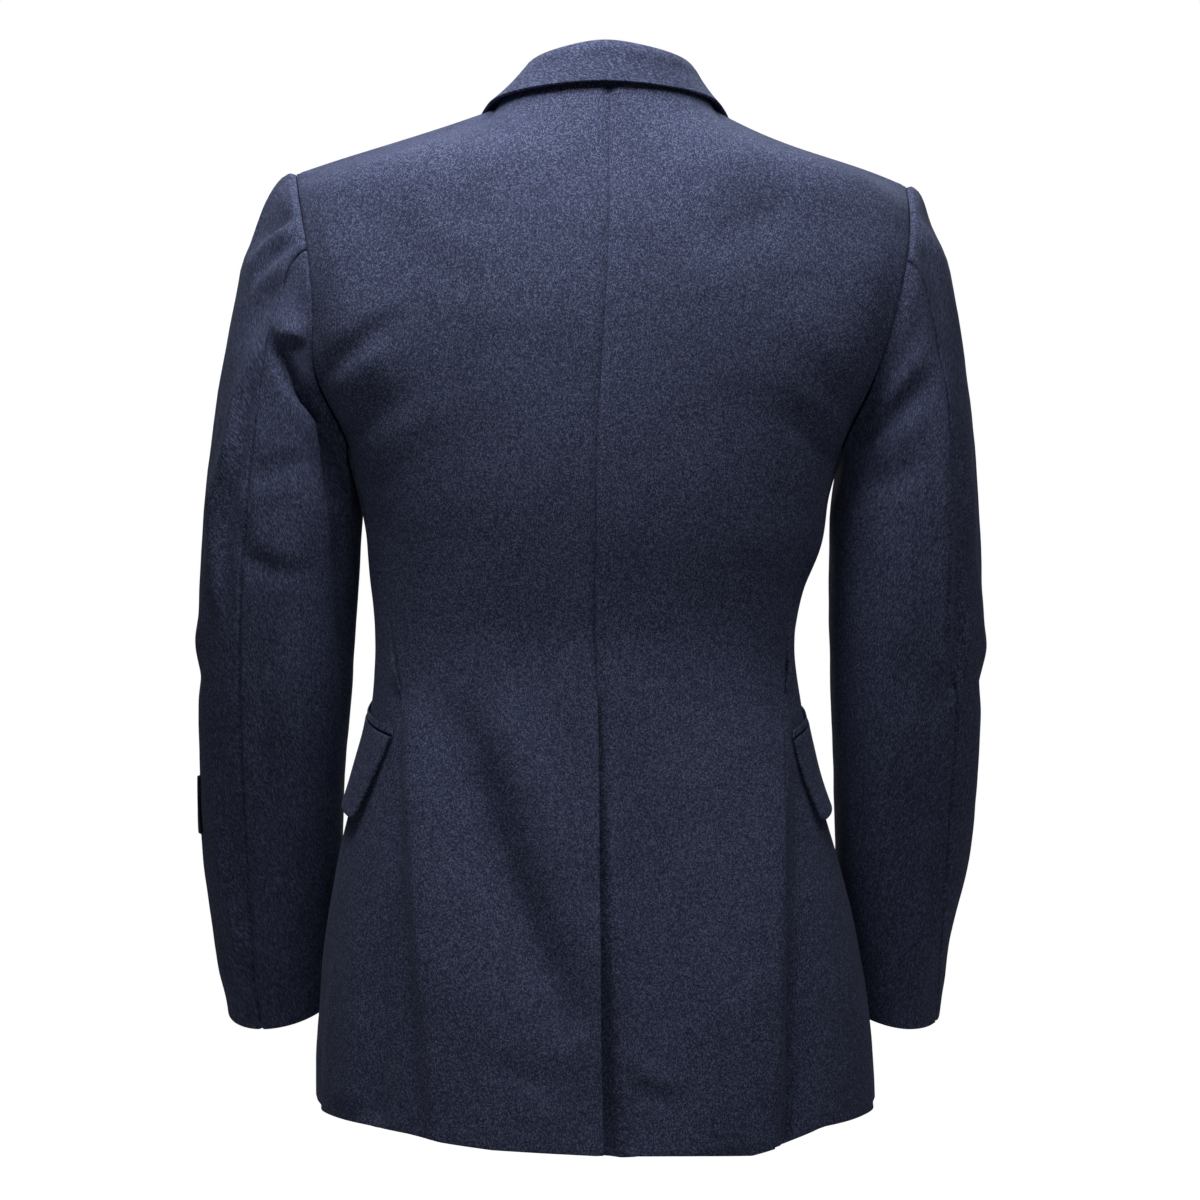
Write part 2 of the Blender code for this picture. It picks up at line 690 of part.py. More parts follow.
def add_back(backs):
    left, right = backs[LEFT], backs[RIGHT]
    add_cloth("back_left", parted(left))
    rows = np.arange(len(right.points))
    open_share = np.clip(VENT_TOP_ROW - rows, 0, 1)
    sink = np.zeros(right.points.shape[:2])
    sink[:, 0] = (WALL + LAP_GAP) * open_share
    lower = lifted(parted(right), -sink)
    under = lifted(left, -(WALL + LAP_GAP))
    columns = slice(UNDERLAP_COLUMNS, 0, -1)
    extra = under.points[:, columns].copy()
    extra[VENT_TOP_ROW:] = np.nan
    extra[VENT_TOP_ROW - 1, 0] = np.nan
    points = np.concatenate([extra, lower.points], axis=1)
    outward = np.concatenate([under.outward[:, columns], lower.outward], axis=1)
    add_cloth("back_right", Sheet(points, right.flip, outward))


def add_fronts(fronts):
    add_cloth("front_left", parted(fronts[LEFT]))
    right = parted(fronts[RIGHT])
    left_edge = front_edge_x(right.points[..., 2], LEFT)
    past_edge = right.points[..., 0] - left_edge + LAP_CLEAR
    past_edge[right.points[..., 2] > LAP_TOP_Z] = -LAP_STEP
    add_cloth("front_right", recess_under(right, past_edge))
    for side in (LEFT, RIGHT):
        add_cloth(f"lapel_{SIDE_NAME[side]}", lapel_sheet(fronts[side], side))


def add_sleeve(sleeve, side):
    under = slice(BACK_SEAM_COLUMN, FRONT_SEAM_COLUMN + 1)
    grid, outward = sleeve.points, sleeve.outward
    add_cloth(f"sleeve_under_{SIDE_NAME[side]}",
              parted(Sheet(grid[:, under], sleeve.flip, outward[:, under])))
    outer = list(range(FRONT_SEAM_COLUMN, grid.shape[1] - 1)) + list(range(BACK_SEAM_COLUMN + 1))
    add_cloth(f"sleeve_top_{SIDE_NAME[side]}",
              parted(Sheet(grid[:, outer], sleeve.flip, outward[:, outer])))


def add_buttons(front_left):
    """Plain domed buttons down the middle of the lap."""
    for number in range(BUTTON_COUNT):
        z = TOP_BUTTON_Z - BUTTON_STEP * number
        line, aim = across_at(front_left, z)
        order = np.argsort(line[:, 0])
        seat = np.array([np.interp(0, line[order, 0], line[order, axis]) for axis in range(3)])
        normal = Vector([np.interp(0, line[order, 0], aim[order, axis]) for axis in range(3)])
        normal.normalize()
        place = Vector(seat) + normal * (BUTTON_DEPTH / 2 + LAY_GAP)
        bpy.ops.mesh.primitive_cylinder_add(
            vertices=16, radius=BUTTON_RADIUS * MM, depth=BUTTON_DEPTH * MM,
            location=place * MM, rotation=normal.to_track_quat("Z", "Y").to_euler())
        button = bpy.context.object
        button.name = f"button_{number + 1}"
        for holder in button.users_collection:
            holder.objects.unlink(button)
        bpy.data.collections[TUNIC].objects.link(button)
        dome = button.modifiers.new("dome", "BEVEL")
        dome.width = BUTTON_ROUND * MM
        dome.segments = 2
        button.data.materials.append(plain_material(button.name, BRASS, 0.35, 1.0))


def main():
    for obj in list(bpy.data.objects):
        bpy.data.objects.remove(obj)
    bpy.context.scene.collection.children.link(bpy.data.collections.new(TUNIC))
    backs, side_panels, fronts, sleeves = {}, {}, {}, {}
    for side in (LEFT, RIGHT):
        backs[side] = Sheet(loft(back_sections(side), ROW_STEPS), side == LEFT)
        side_panels[side] = Sheet(loft(side_sections(side), ROW_STEPS), side == LEFT)
        fronts[side] = Sheet(loft(front_sections(side), ROW_STEPS), side == RIGHT)
    backs[RIGHT].points[:, 0] = backs[LEFT].points[:, 0]
    for side in (LEFT, RIGHT):
        rows = len(side_panels[side].points)
        side_panels[side].points[:, 0] = backs[side].points[:rows, -1]
        side_panels[side].points[:, -1] = fronts[side].points[:rows, -1]
        loop = armhole_loop(backs[side].points, side_panels[side].points, fronts[side].points)
        grid = sleeve_grid(loop, side)
        sleeves[side] = Sheet(np.concatenate([grid, grid[:, :1]], axis=1), side == LEFT)
    find_outward([sheet for group in (backs, side_panels, fronts) for sheet in group.values()])
    find_outward(list(sleeves.values()))

    add_back(backs)
    add_fronts(fronts)
    add_cloth("collar", collar_sheet())
    add_buttons(fronts[LEFT])
    for side in (LEFT, RIGHT):
        name = SIDE_NAME[side]
        add_cloth(f"side_{name}", parted(side_panels[side]))
        add_sleeve(sleeves[side], side)
        around = around_side(side_panels[side], fronts[side])
        add_cloth(f"flap_{name}", flap_sheet(side, around))
        add_cloth(f"welt_{name}", welt_sheet(side, around), wall=WELT_WALL)
        back_and_side = around_back(backs[side], side_panels[side])
        add_cloth(f"belt_loop_{name}", loop_sheet(side, back_and_side), wall=LOOP_WALL)
    add_cloth("sleeve_patch", patch_sheet(sleeves[LEFT]), wall=PATCH_WALL)


main()
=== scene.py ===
import math

import bmesh
import bpy
import numpy as np
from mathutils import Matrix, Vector, noise


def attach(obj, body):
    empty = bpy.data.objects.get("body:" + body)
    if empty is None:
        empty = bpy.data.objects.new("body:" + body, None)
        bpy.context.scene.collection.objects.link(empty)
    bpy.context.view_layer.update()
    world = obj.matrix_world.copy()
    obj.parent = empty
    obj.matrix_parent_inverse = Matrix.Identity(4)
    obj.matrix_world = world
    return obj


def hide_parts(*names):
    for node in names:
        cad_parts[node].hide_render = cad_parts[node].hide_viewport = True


# Sizes are in millimetres until a mesh is made. The front faces -Y and the wearer's left is +X.
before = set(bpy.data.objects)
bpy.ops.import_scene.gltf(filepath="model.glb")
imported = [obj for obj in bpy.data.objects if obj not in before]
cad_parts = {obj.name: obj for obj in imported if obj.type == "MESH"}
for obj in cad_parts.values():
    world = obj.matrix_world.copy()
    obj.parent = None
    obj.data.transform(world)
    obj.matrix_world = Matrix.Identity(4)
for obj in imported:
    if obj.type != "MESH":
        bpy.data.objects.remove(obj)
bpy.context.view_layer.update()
bpy.ops.object.select_all(action="DESELECT")
print("frame loaded:", len(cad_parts), "nodes")

mm = 0.001
left, right = 1, -1
sideName = {left: "left", right: "right"}

cloth = {
    "wall": 2.0,          # thickness of the wool with its lining
    "rim": 0.45,          # rounding of its cut edges
    "cell": 3.2,          # width of the mesh cells
    "edgeSteps": (0.5, 1.2, 2.2, 3.6, 5.6),   # finer cells beside an edge
    "crowd": 1.6,         # an even line this near a finer one makes way for it
    "seamDepth": 2.3,     # how far the cloth rolls down into a seam
    "seamWidth": 1.15,
    "seamHalf": 0.5,      # share of that depth at a seam that is pressed flat
    "heldWidth": 12.0,    # how near a set seam holds the cloth from folding
}
slack = {"body": 0.7, "sleeve": 0.9, "size": 46.0, "finer": 2.3, "finerShare": 0.4}

# Sections of the skirt and the body from the hem up. Each row: height at the back, at the side
# and at the front, half width left and right, depth back and front, place of the centre seam,
# angles of the back seam left and right and of the front seam.
bodyRings = (
    (-743, -725, -745, 205, 197, 137, 142, -1, 46.7, 38.8, 113),
    (-698, -690, -700, 204, 195, 131, 139, 0, 45.0, 40.0, 113),
    (-624, -620, -624, 199, 185, 121, 132, 1, 45.5, 42.0, 112),
    (-556, -554, -556, 190, 170, 110, 126, 2, 45.0, 46.0, 112),
    (-490, -490, -490, 175, 152, 101, 120, 2, 48.8, 53.6, 112),
    (-437, -437, -437, 165, 143, 95, 117, 3, 54.2, 61.6, 112),
    (-399, -400, -399, 163, 138, 94, 117, 5, 60.0, 70.0, 112),
    (-355, -357, -355, 164, 144, 99, 120, 5, 67.0, 72.0, 110),
    (-323, -325, -323, 168, 158, 104, 124, 4, 72.0, 72.0, 108),
    (-290, -292, -290, 175, 163, 108, 127, 4, 75.0, 76.0, 107),
    (-246, -257, -246, 184, 174, 110, 129, 3, 76.0, 78.0, 105),
)
bodySquare = 2.3
hemHang = ((0, 20, 30, 38, 48, 90), {left: (-743, -740, -736, -732, -729, -725),
                                     right: (-743, -744, -745, -739, -730, -725)})

# Sections above the armpits: height and depth at the back, place of the centre seam, the
# armhole's back and front edge on each side, depth and height at the chest.
yokes = (
    (-198, 110, 0, {left: ((202, 58, -207), (190, -60, -207)),
                    right: ((-192, 56, -211), (-183, -60, -211))}, 129, -196),
    (-150, 107, -3, {left: ((203, 66, -160), (192, -66, -160)),
                     right: ((-206, 65, -166), (-189, -66, -166))}, 122, -150),
    (-103, 99, -5, {left: ((208, 57, -120), (199, -58, -120)),
                    right: ((-215, 57, -128), (-197, -58, -128))}, 108, -108),
    (-50, 82, -5, {left: ((215, 33, -86), (210, -36, -86)),
                   right: ((-219, 33, -95), (-208, -36, -95))}, 88, -66),
)
yokeSquare = 2.2

neck = {"back": 64, "half": 77, "sideY": -6, "sideZ": -10, "shift": -1.5,
        "gorge": (64, -44, -32)}
shoulder = {"tip": {left: (221, -5, -58), right: (-220, -5, -67)},
            "sag": {left: 2.5, right: 9.0}}
closing = {"overlap": 20, "rollFoot": -285, "lapClear": 2, "lapStep": 12, "lapTop": -205,
           "lapGap": 1.1}

# Sections of the sleeves: height, outer and inner face on each side, back and front, tilt,
# angle of the elbow seam on each side, lean.
sleeveRings = (
    (-310, {left: (288, 173), right: (273, 164.5)}, 59, -79, 4, {left: 21, right: 29}, 0),
    (-370, {left: (292, 178), right: (276, 165)}, 50, -84, 8, {left: 21, right: 24}, 0),
    (-440, {left: (293, 183), right: (276, 167)}, 36, -92, 12, {left: 20, right: 33}, 0),
    (-500, {left: (294, 189), right: (274, 170)}, 18, -104, 16, {left: 16, right: 32}, 0),
    (-560, {left: (291, 192), right: (268, 173)}, 0, -118, 18, {left: 16, right: 34}, 0),
    (-615, {left: (286, 196), right: (256, 176)}, -16, -132, 17, {left: 16, right: 50}, 3),
    (-663, {left: (279, 197), right: (252, 178)}, -32, -144, 16, {left: 15, right: 56}, 6),
)
sleeveSquare = 2.2
frontSeamAngle = -135


# The lines that the cloth is cut and hung on.
def softStep(values):
    values = np.clip(values, 0, 1)
    return values * values * (3 - 2 * values)


def curve(t, start, leave, end, arrive):
    return ((2 * t ** 3 - 3 * t ** 2 + 1) * start + (t ** 3 - 2 * t ** 2 + t) * leave
            + (3 * t ** 2 - 2 * t ** 3) * end + (t ** 3 - t ** 2) * arrive)


def readAt(reach, lengths, values):
    return np.stack([np.interp(reach, lengths, values[:, axis]) for axis in range(3)], axis=-1)


def superellipse(angle, half, depth, square):
    across, along = np.sin(np.radians(angle)), np.cos(np.radians(angle))
    reach = (np.abs(across) ** square + np.abs(along) ** square) ** (-1 / square)
    return half * across * reach, depth * along * reach


def angleAt(offset, half, square):
    share = min(abs(offset) / half, 1.0)
    depth = (1 - share ** square) ** (1 / square)
    return math.copysign(math.degrees(math.atan2(share, depth)), offset)


def ringLine(index, angles, side):
    ring = bodyRings[index]
    middle, half = (ring[3] - ring[4]) / 2, (ring[3] + ring[4]) / 2
    angles = np.asarray(angles, float)
    turn = np.cos(np.radians(angles))
    depth = np.where(turn > 0, ring[5], ring[6])
    x, y = superellipse(angles, half, depth, bodySquare)
    endZ = np.where(y > 0, ring[0], ring[2])
    z = ring[1] + (endZ - ring[1]) * turn ** 2
    if index == 0:
        z = np.where(y > 0, np.interp(np.abs(angles), hemHang[0], hemHang[1][side]), z)
    return np.stack([middle + side * x, y, z], axis=-1)


def ringAngle(ring, x, side, atFront):
    middle, half = (ring[3] - ring[4]) / 2, (ring[3] + ring[4]) / 2
    angle = angleAt(side * (x - middle), half, bodySquare)
    return 180 - angle if atFront else angle


def backSeamAngle(ring, side):
    return ring[8] if side == left else ring[9]


def frontEdgeX(z, side):
    rise = np.clip((z - closing["rollFoot"]) / (neck["gorge"][2] - closing["rollFoot"]), 0, 1)
    return side * (-closing["overlap"] + (neck["gorge"][0] + closing["overlap"]) * rise)


def yokeLine(startX, startZ, edge, depth, shares):
    side = math.copysign(1, edge[0])
    spread = (1 - (abs(edge[1]) / abs(depth)) ** yokeSquare) ** (1 / yokeSquare)
    half = abs(edge[0]) / spread
    first, last = angleAt(side * startX, half, yokeSquare), angleAt(abs(edge[0]), half, yokeSquare)
    x, y = superellipse(first + (last - first) * shares, half, depth, yokeSquare)
    return np.stack([side * x, y, startZ + (edge[2] - startZ) * shares ** 2], axis=-1)


def shoulderLine(side, shares):
    start = np.array((side * neck["half"] + neck["shift"], neck["sideY"], neck["sideZ"]), float)
    tip = np.array(shoulder["tip"][side], float)
    points = start + (tip - start) * shares[:, None]
    points[:, 2] -= shoulder["sag"][side] * np.sin(np.pi * shares) * (1 - 1.2 * shares)
    return points


def neckLine(side, shares):
    turn = shares * math.pi / 2
    middle = yokes[-1][2] + (neck["shift"] - yokes[-1][2]) * shares
    return np.stack([side * neck["half"] * np.sin(turn) + middle,
                     neck["sideY"] + (neck["back"] - neck["sideY"]) * np.cos(turn),
                     neck["sideZ"] * shares ** 2], axis=-1)


def gorgeLine(side, shares):
    start = np.array((side * neck["gorge"][0], *neck["gorge"][1:]), float)
    end = np.array((side * neck["half"] + neck["shift"], neck["sideY"], neck["sideZ"]), float)
    return start + (end - start) * shares[:, None]


def loft(sections, places):
    keys = np.array(sections, float)
    gaps = np.linalg.norm(np.diff(keys, axis=0), axis=2).mean(axis=1)
    speeds = np.diff(keys, axis=0) / gaps[:, None, None]
    slopes = np.empty_like(keys)
    slopes[0], slopes[-1] = speeds[0], speeds[-1]
    before, after = gaps[:-1, None, None], gaps[1:, None, None]
    slopes[1:-1] = (speeds[1:] * before + speeds[:-1] * after) / (before + after)
    index = np.minimum(np.floor(places + 1e-9).astype(int), len(gaps) - 1)
    t = (places - index)[:, None, None]
    gap = gaps[index][:, None, None]
    return curve(t, keys[index], gap * slopes[index], keys[index + 1], gap * slopes[index + 1])


# Fine grids of cloth, with closer lines beside the seams and edges.
def finePlaces(gaps, pressed=()):
    found = [float(len(gaps))]
    for index, gap in enumerate(gaps):
        count = max(2, round(gap / cloth["cell"]))
        found += [index + step / count for step in range(count)]
    near = []
    for place in pressed:
        if place < len(gaps):
            near += [place + step / gaps[place] for step in cloth["edgeSteps"]]
        if place > 0:
            near += [place - step / gaps[place - 1] for step in cloth["edgeSteps"]]
    for place in near:
        reach = cloth["crowd"] / gaps[min(int(place), len(gaps) - 1)]
        found = [other for other in found
                 if abs(other - place) >= reach or other == int(other)] + [place]
    return np.array(sorted(found))


# Rows run from the hem, at 0, past the armpit to the shoulder, and gaps are the distances between.
armpitPlace, shoulderPlace = 10, 15
bodyGaps = [46, 74, 68, 66, 53, 38, 44, 32, 33, 44, 48, 48, 47, 53, 64]
rowPlaces = finePlaces(bodyGaps, pressed=(0, armpitPlace, shoulderPlace))
cornerRow = int(np.searchsorted(rowPlaces, armpitPlace))

# Columns run from the first seam or edge to the last seam of a panel. The first ones of the back
# end at the neck and those of the front at the gorge, the others all end at the shoulder.
columns = {"back": 9, "side": 6, "front": 8, "neck": 3, "gorge": 2, "shoulder": 6}
backPlaces = finePlaces([20] * columns["back"], pressed=(0, columns["back"]))
sidePlaces = finePlaces([20] * columns["side"], pressed=(0, columns["side"]))
frontPlaces = finePlaces([22, 12] + [34] * 6, pressed=(0, columns["front"]))


def topLine(places, first, line, side):
    nearNeck, onShoulder = places[places < first] / first, places[places >= first] - first
    return np.concatenate([line(side, nearNeck), shoulderLine(side, onShoulder / columns["shoulder"])])


def backGrid(side):
    shares, sections = backPlaces / columns["back"], []
    for index, ring in enumerate(bodyRings):
        first, last = ringAngle(ring, ring[7], side, False), backSeamAngle(ring, side)
        sections.append(ringLine(index, first + (last - first) * shares, side))
    for yoke in yokes:
        sections.append(yokeLine(yoke[2], yoke[0], yoke[3][side][0], yoke[1], shares))
    sections.append(topLine(backPlaces, columns["neck"], neckLine, side))
    return loft(sections, rowPlaces)


def sideGrid(side):
    shares, sections = sidePlaces / columns["side"], []
    for index, ring in enumerate(bodyRings):
        first, last = backSeamAngle(ring, side), ring[10]
        sections.append(ringLine(index, first + (last - first) * shares, side))
    return loft(sections, rowPlaces[:cornerRow + 1])


def frontGrid(side):
    sections = []
    for index, ring in enumerate(bodyRings):
        first = ringAngle(ring, frontEdgeX(ring[2], side), side, True)
        otherEdge = frontEdgeX(ring[2], -side)
        tucked = [ringAngle(ring, otherEdge + side * step, side, True)
                  for step in (closing["lapClear"], closing["lapClear"] + closing["lapStep"])]
        angles = [first, tucked[0], *np.linspace(tucked[1], ring[10], columns["front"] - 1)]
        sections.append(ringLine(index, np.interp(frontPlaces, range(len(angles)), angles), side))
    for yoke in yokes:
        startX = frontEdgeX(yoke[5], side)
        shares = frontPlaces / columns["front"]
        sections.append(yokeLine(startX, yoke[5], yoke[3][side][1], -yoke[4], shares))
    sections.append(topLine(frontPlaces, columns["gorge"], gorgeLine, side))
    return loft(sections, rowPlaces)


def runs(points, axis):
    steps = np.linalg.norm(np.diff(points, axis=axis), axis=2)
    start = np.zeros_like(steps[:, :1] if axis == 1 else steps[:1])
    return np.concatenate([start, np.cumsum(steps, axis=axis)], axis=axis)


def facing(points, flip):
    across, upward = np.gradient(points, axis=1), np.gradient(points, axis=0)
    aim = np.cross(across, upward) * (-1 if flip else 1)
    return aim / np.linalg.norm(aim, axis=2)[..., None]


def newSheet(points, flip):
    return {"points": points, "outward": facing(points, flip), "flip": flip,
            "uv": np.stack([runs(points, 1), runs(points, 0)], axis=-1), "cut": flatCut(points)}


def flatCut(points):
    area = 0.0
    for a, b, c in ((points[:-1, :-1], points[:-1, 1:], points[1:, 1:]),
                    (points[:-1, :-1], points[1:, 1:], points[1:, :-1])):
        area += np.linalg.norm(np.cross(b - a, c - a), axis=2).sum() / 2
    width, length = runs(points, 1)[:, -1].max(), runs(points, 0)[-1].max()
    return width * mm, length * mm, area * mm * mm


def sameAim(first, second):
    aim = first + second
    aim /= np.linalg.norm(aim, axis=-1)[..., None]
    first[:], second[:] = aim, aim


def lifted(sheet, height):
    return {**sheet, "points": sheet["points"] + sheet["outward"] * np.asarray(height)[..., None]}


def pressed(sheet, start=1.0, end=1.0, bottom=0.0, top=1.0):
    across, upward = runs(sheet["points"], 1), runs(sheet["points"], 0)
    dip = np.zeros(across.shape)
    for wanted, distance in ((start, across), (end, across[:, -1:] - across),
                             (bottom, upward), (top, upward[-1:] - upward)):
        dip = np.maximum(dip, np.exp(-(distance / cloth["seamWidth"]) ** 2) * wanted)
    return lifted(sheet, -cloth["seamDepth"] * dip)


# Each fold is a soft ridge or trough along a line, seen from one side of the garment: the way to
# that side, and the axes across and up its view.
looks = {"back": ((0, 1, 0), (0, 2)), "front": ((0, -1, 0), (0, 2)),
         "leftSide": ((1, 0, 0), (1, 2)), "rightSide": ((-1, 0, 0), (1, 2))}


def foldHeights(sheet, folds):
    points, total = sheet["points"], np.zeros(sheet["points"].shape[:2])
    for look, (widths, line) in ((look, fold) for look in folds for fold in folds[look]):
        towards, plane = looks[look]
        flat, keys = points[..., list(plane)], np.array(line, float)
        best, height, turn = np.full(total.shape, 1e9), np.zeros(total.shape), np.zeros(total.shape)
        for start, end in zip(keys[:-1], keys[1:]):
            step = end[:2] - start[:2]
            share = np.clip(((flat - start[:2]) @ step) / (step @ step), 0, 1)
            gap = flat - (start[:2] + share[..., None] * step)
            distance = np.linalg.norm(gap, axis=2)
            closer = distance < best
            best = np.where(closer, distance, best)
            height = np.where(closer, start[2] + (end[2] - start[2]) * softStep(share), height)
            turn = np.where(closer, step[0] * gap[..., 1] - step[1] * gap[..., 0], turn)
        width = np.where(turn > 0, widths[0], widths[1])
        shown = np.clip(sheet["outward"] @ np.array(towards, float) * 2.0 + 0.1, 0, 1)
        total += height * np.exp(-(best / width) ** 2) * shown
    return total


def freeOf(sheet, end=False, top=False, endFrom=0):
    across, upward = runs(sheet["points"], 1), runs(sheet["points"], 0)
    free = np.ones(across.shape)
    if end:
        below = np.maximum(upward[endFrom, -1] - upward, 0)   # the armhole starts at this row
        distance = np.hypot(across[:, -1:] - across, below)
        free -= np.exp(-(distance / cloth["heldWidth"]) ** 2)
    if top:
        free = np.minimum(free, 1 - np.exp(-((upward[-1:] - upward) / cloth["heldWidth"]) ** 2))
    return free


def folded(sheet, folds, loose, free):
    height = foldHeights(sheet, folds)
    for corner in np.ndindex(height.shape):
        spot = Vector(sheet["points"][corner] / slack["size"])
        finer = slack["finerShare"] * noise.noise(spot * slack["finer"])
        height[corner] += loose * (noise.noise(spot) + finer)
    moved = lifted(sheet, height * free)
    aim = facing(moved["points"], sheet["flip"])
    return {**moved, "outward": aim}


# A sheet becomes a closed piece of cloth: the shown sheet, an inner one and a rounded rim.
def clothPiece(name, sheet, material, wall, rim):
    points, outward, uv = sheet["points"], sheet["outward"], sheet["uv"]
    cutFrom = np.array((0.37, 0.83)) * len(bpy.data.meshes)   # each piece has its own place on the roll
    bm = bmesh.new()
    inward = bm.verts.layers.float_vector.new("inward")
    along = bm.loops.layers.uv.new("cloth")
    shown = ~np.isnan(points[..., 0])
    verts = {}
    for corner in zip(*np.nonzero(shown)):
        verts[corner] = bm.verts.new(points[corner] * mm)
        verts[corner][inward] = -outward[corner] * wall * mm
    rows, columns = shown.shape
    for row in range(rows - 1):
        for column in range(columns - 1):
            ring = [(row, column), (row, column + 1), (row + 1, column + 1), (row + 1, column)]
            if all(shown[corner] for corner in ring):
                if sheet["flip"]:
                    ring.reverse()
                face = bm.faces.new([verts[corner] for corner in ring])
                for loop, corner in zip(face.loops, ring):
                    loop[along].uv = uv[corner] * mm + cutFrom
    for vert in [vert for vert in bm.verts if not vert.link_faces]:
        bm.verts.remove(vert)
    bmesh.ops.reverse_faces(bm, faces=bm.faces[:])
    outer = set(bm.verts)
    made = bmesh.ops.extrude_face_region(bm, geom=bm.faces[:], use_keep_orig=True)
    for item in made["geom"]:
        if isinstance(item, bmesh.types.BMVert):
            outer.discard(item)
    # the first sheet is the inner side, the extruded one stays where the cloth shows
    for vert in outer:
        vert.co += vert[inward]
    bmesh.ops.recalc_face_normals(bm, faces=bm.faces[:])
    sharp = [edge for edge in bm.edges if edge.calc_face_angle(0) > math.radians(60)]
    bmesh.ops.bevel(bm, geom=sharp, offset=rim * mm, segments=2, profile=0.5, affect="EDGES",
                    clamp_overlap=True)
    mesh = bpy.data.meshes.new(name)
    bm.to_mesh(mesh)
    bm.free()
    mesh.shade_smooth()
    piece = bpy.data.objects.new(name, mesh)
    bpy.context.collection.objects.link(piece)
    mesh.materials.append(material)
    return piece


def trim(piece, node):
    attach(piece, "root")
    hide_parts(node)


# cut is a sheet's flat width, length and area.
def sew(node, sheet, slotName="wool", wall=cloth["wall"],
        rim=cloth["rim"]):
    piece = clothPiece(f"{node}_cloth", sheet, finishes[slotName], wall, rim)
    trim(piece, node)


# The sleeves: a head that curves out of the armhole, then a tube down to the cuff.
cap = {"rows": 10, "gap": 9, "pull": 0.38,
       # the way it leaves the lowest and the highest point, sideways and upwards, and forwards between
       "low": (0.45, -0.85), "high": (1.0, 0.2), "forwardsBack": -0.35, "forwardsFront": -0.5}
capPlaces = finePlaces([cap["gap"]] * cap["rows"], pressed=(0,))
tubeGaps = [60, 70, 60, 60, 57, 50]
tubePlaces = finePlaces(tubeGaps, pressed=(6,))
elbowPlace, frontSeamPlace = 13, 11   # rows of the body where the long seams start


def alongLine(points):
    lengths = np.concatenate([[0], np.cumsum(np.linalg.norm(np.diff(points, axis=0), axis=1))])
    return lengths / lengths[-1]


def finerLoop(points, seams):
    edges, found, kept = list(seams) + [seams[0] + len(points)], [], []
    closed = np.concatenate([points, points, points[:1]])
    for first, last in zip(edges[:-1], edges[1:]):
        part = closed[first:last + 1]
        reach = alongLine(part)
        long = np.linalg.norm(np.diff(part, axis=0), axis=1).sum()
        count = round(long / cloth["cell"])
        beside = np.array(cloth["edgeSteps"]) / long
        inner = np.arange(1, count) / count
        inner = inner[(inner > beside[-1] * 1.3) & (inner < 1 - beside[-1] * 1.3)]
        kept.append(len(found))
        found += list(readAt(np.concatenate([[0], beside, inner, 1 - beside[::-1]]), reach, part))
    return np.array(found), kept


def sleeveGrid(side, back, below, front):
    down, up = back[:cornerRow - 1:-1, -1], front[cornerRow:-1, -1]
    loop = np.concatenate([down, below[-1, 1:-1], up])
    elbow = int(np.searchsorted(-rowPlaces[:cornerRow - 1:-1], -elbowPlace))
    frontSeam = len(down) + len(below[-1]) - 2
    frontSeam += int(np.searchsorted(rowPlaces[cornerRow:], frontSeamPlace))
    loop, (_, frontSeam) = finerLoop(loop, (elbow, frontSeam))   # it now starts at the elbow seam
    closed = np.concatenate([loop, loop[:1]])
    sections = []
    for z, sides, backY, frontY, tilt, seams, lean in sleeveRings:
        (outer, inner), elbowAngle = sides[side], seams[side]
        angles = np.concatenate([
            elbowAngle + (frontSeamAngle - elbowAngle) * alongLine(closed[:frontSeam + 1]),
            frontSeamAngle + (elbowAngle - 360 - frontSeamAngle) * alongLine(closed[frontSeam:])[1:-1]])
        across, along = superellipse(angles, (outer - inner) / 2, (backY - frontY) / 2, sleeveSquare)
        turn = np.radians(angles)
        sections.append(np.stack([side * ((outer + inner) / 2 + across), (backY + frontY) / 2 + along,
                                  z - tilt * np.cos(turn) - lean * np.sin(turn)], axis=-1))
    tube = loft(sections, tubePlaces)
    nextRing = loft(sections, np.array([0.5]))[0]
    height = (loop[:, 2] - loop[:, 2].min()) / np.ptp(loop[:, 2])
    bulge = 4 * height * (1 - height)
    sideways, upwards = (low + (high - low) * height for low, high in zip(cap["low"], cap["high"]))
    forwards = np.where(loop[:, 1] > 0, cap["forwardsBack"], cap["forwardsFront"]) * bulge
    leave = np.stack([side * sideways, forwards, upwards], axis=-1)
    distance = np.linalg.norm(tube[0] - loop, axis=1)[:, None]
    leave *= cap["pull"] * distance / np.linalg.norm(leave, axis=1)[:, None]
    arrive = nextRing - tube[0]
    arrive *= distance / np.linalg.norm(arrive, axis=1)[:, None]
    head = curve((capPlaces[:-1] / cap["rows"])[:, None, None], loop, leave, tube[0], arrive)
    grid = np.concatenate([head, tube])
    return np.concatenate([grid, grid[:, :1]], axis=1), frontSeam


def closeAim(sheet):
    first, last = sheet["outward"][:, 0].copy(), sheet["outward"][:, -1].copy()
    sameAim(first, last)
    sheet["outward"][:, 0], sheet["outward"][:, -1] = first, last


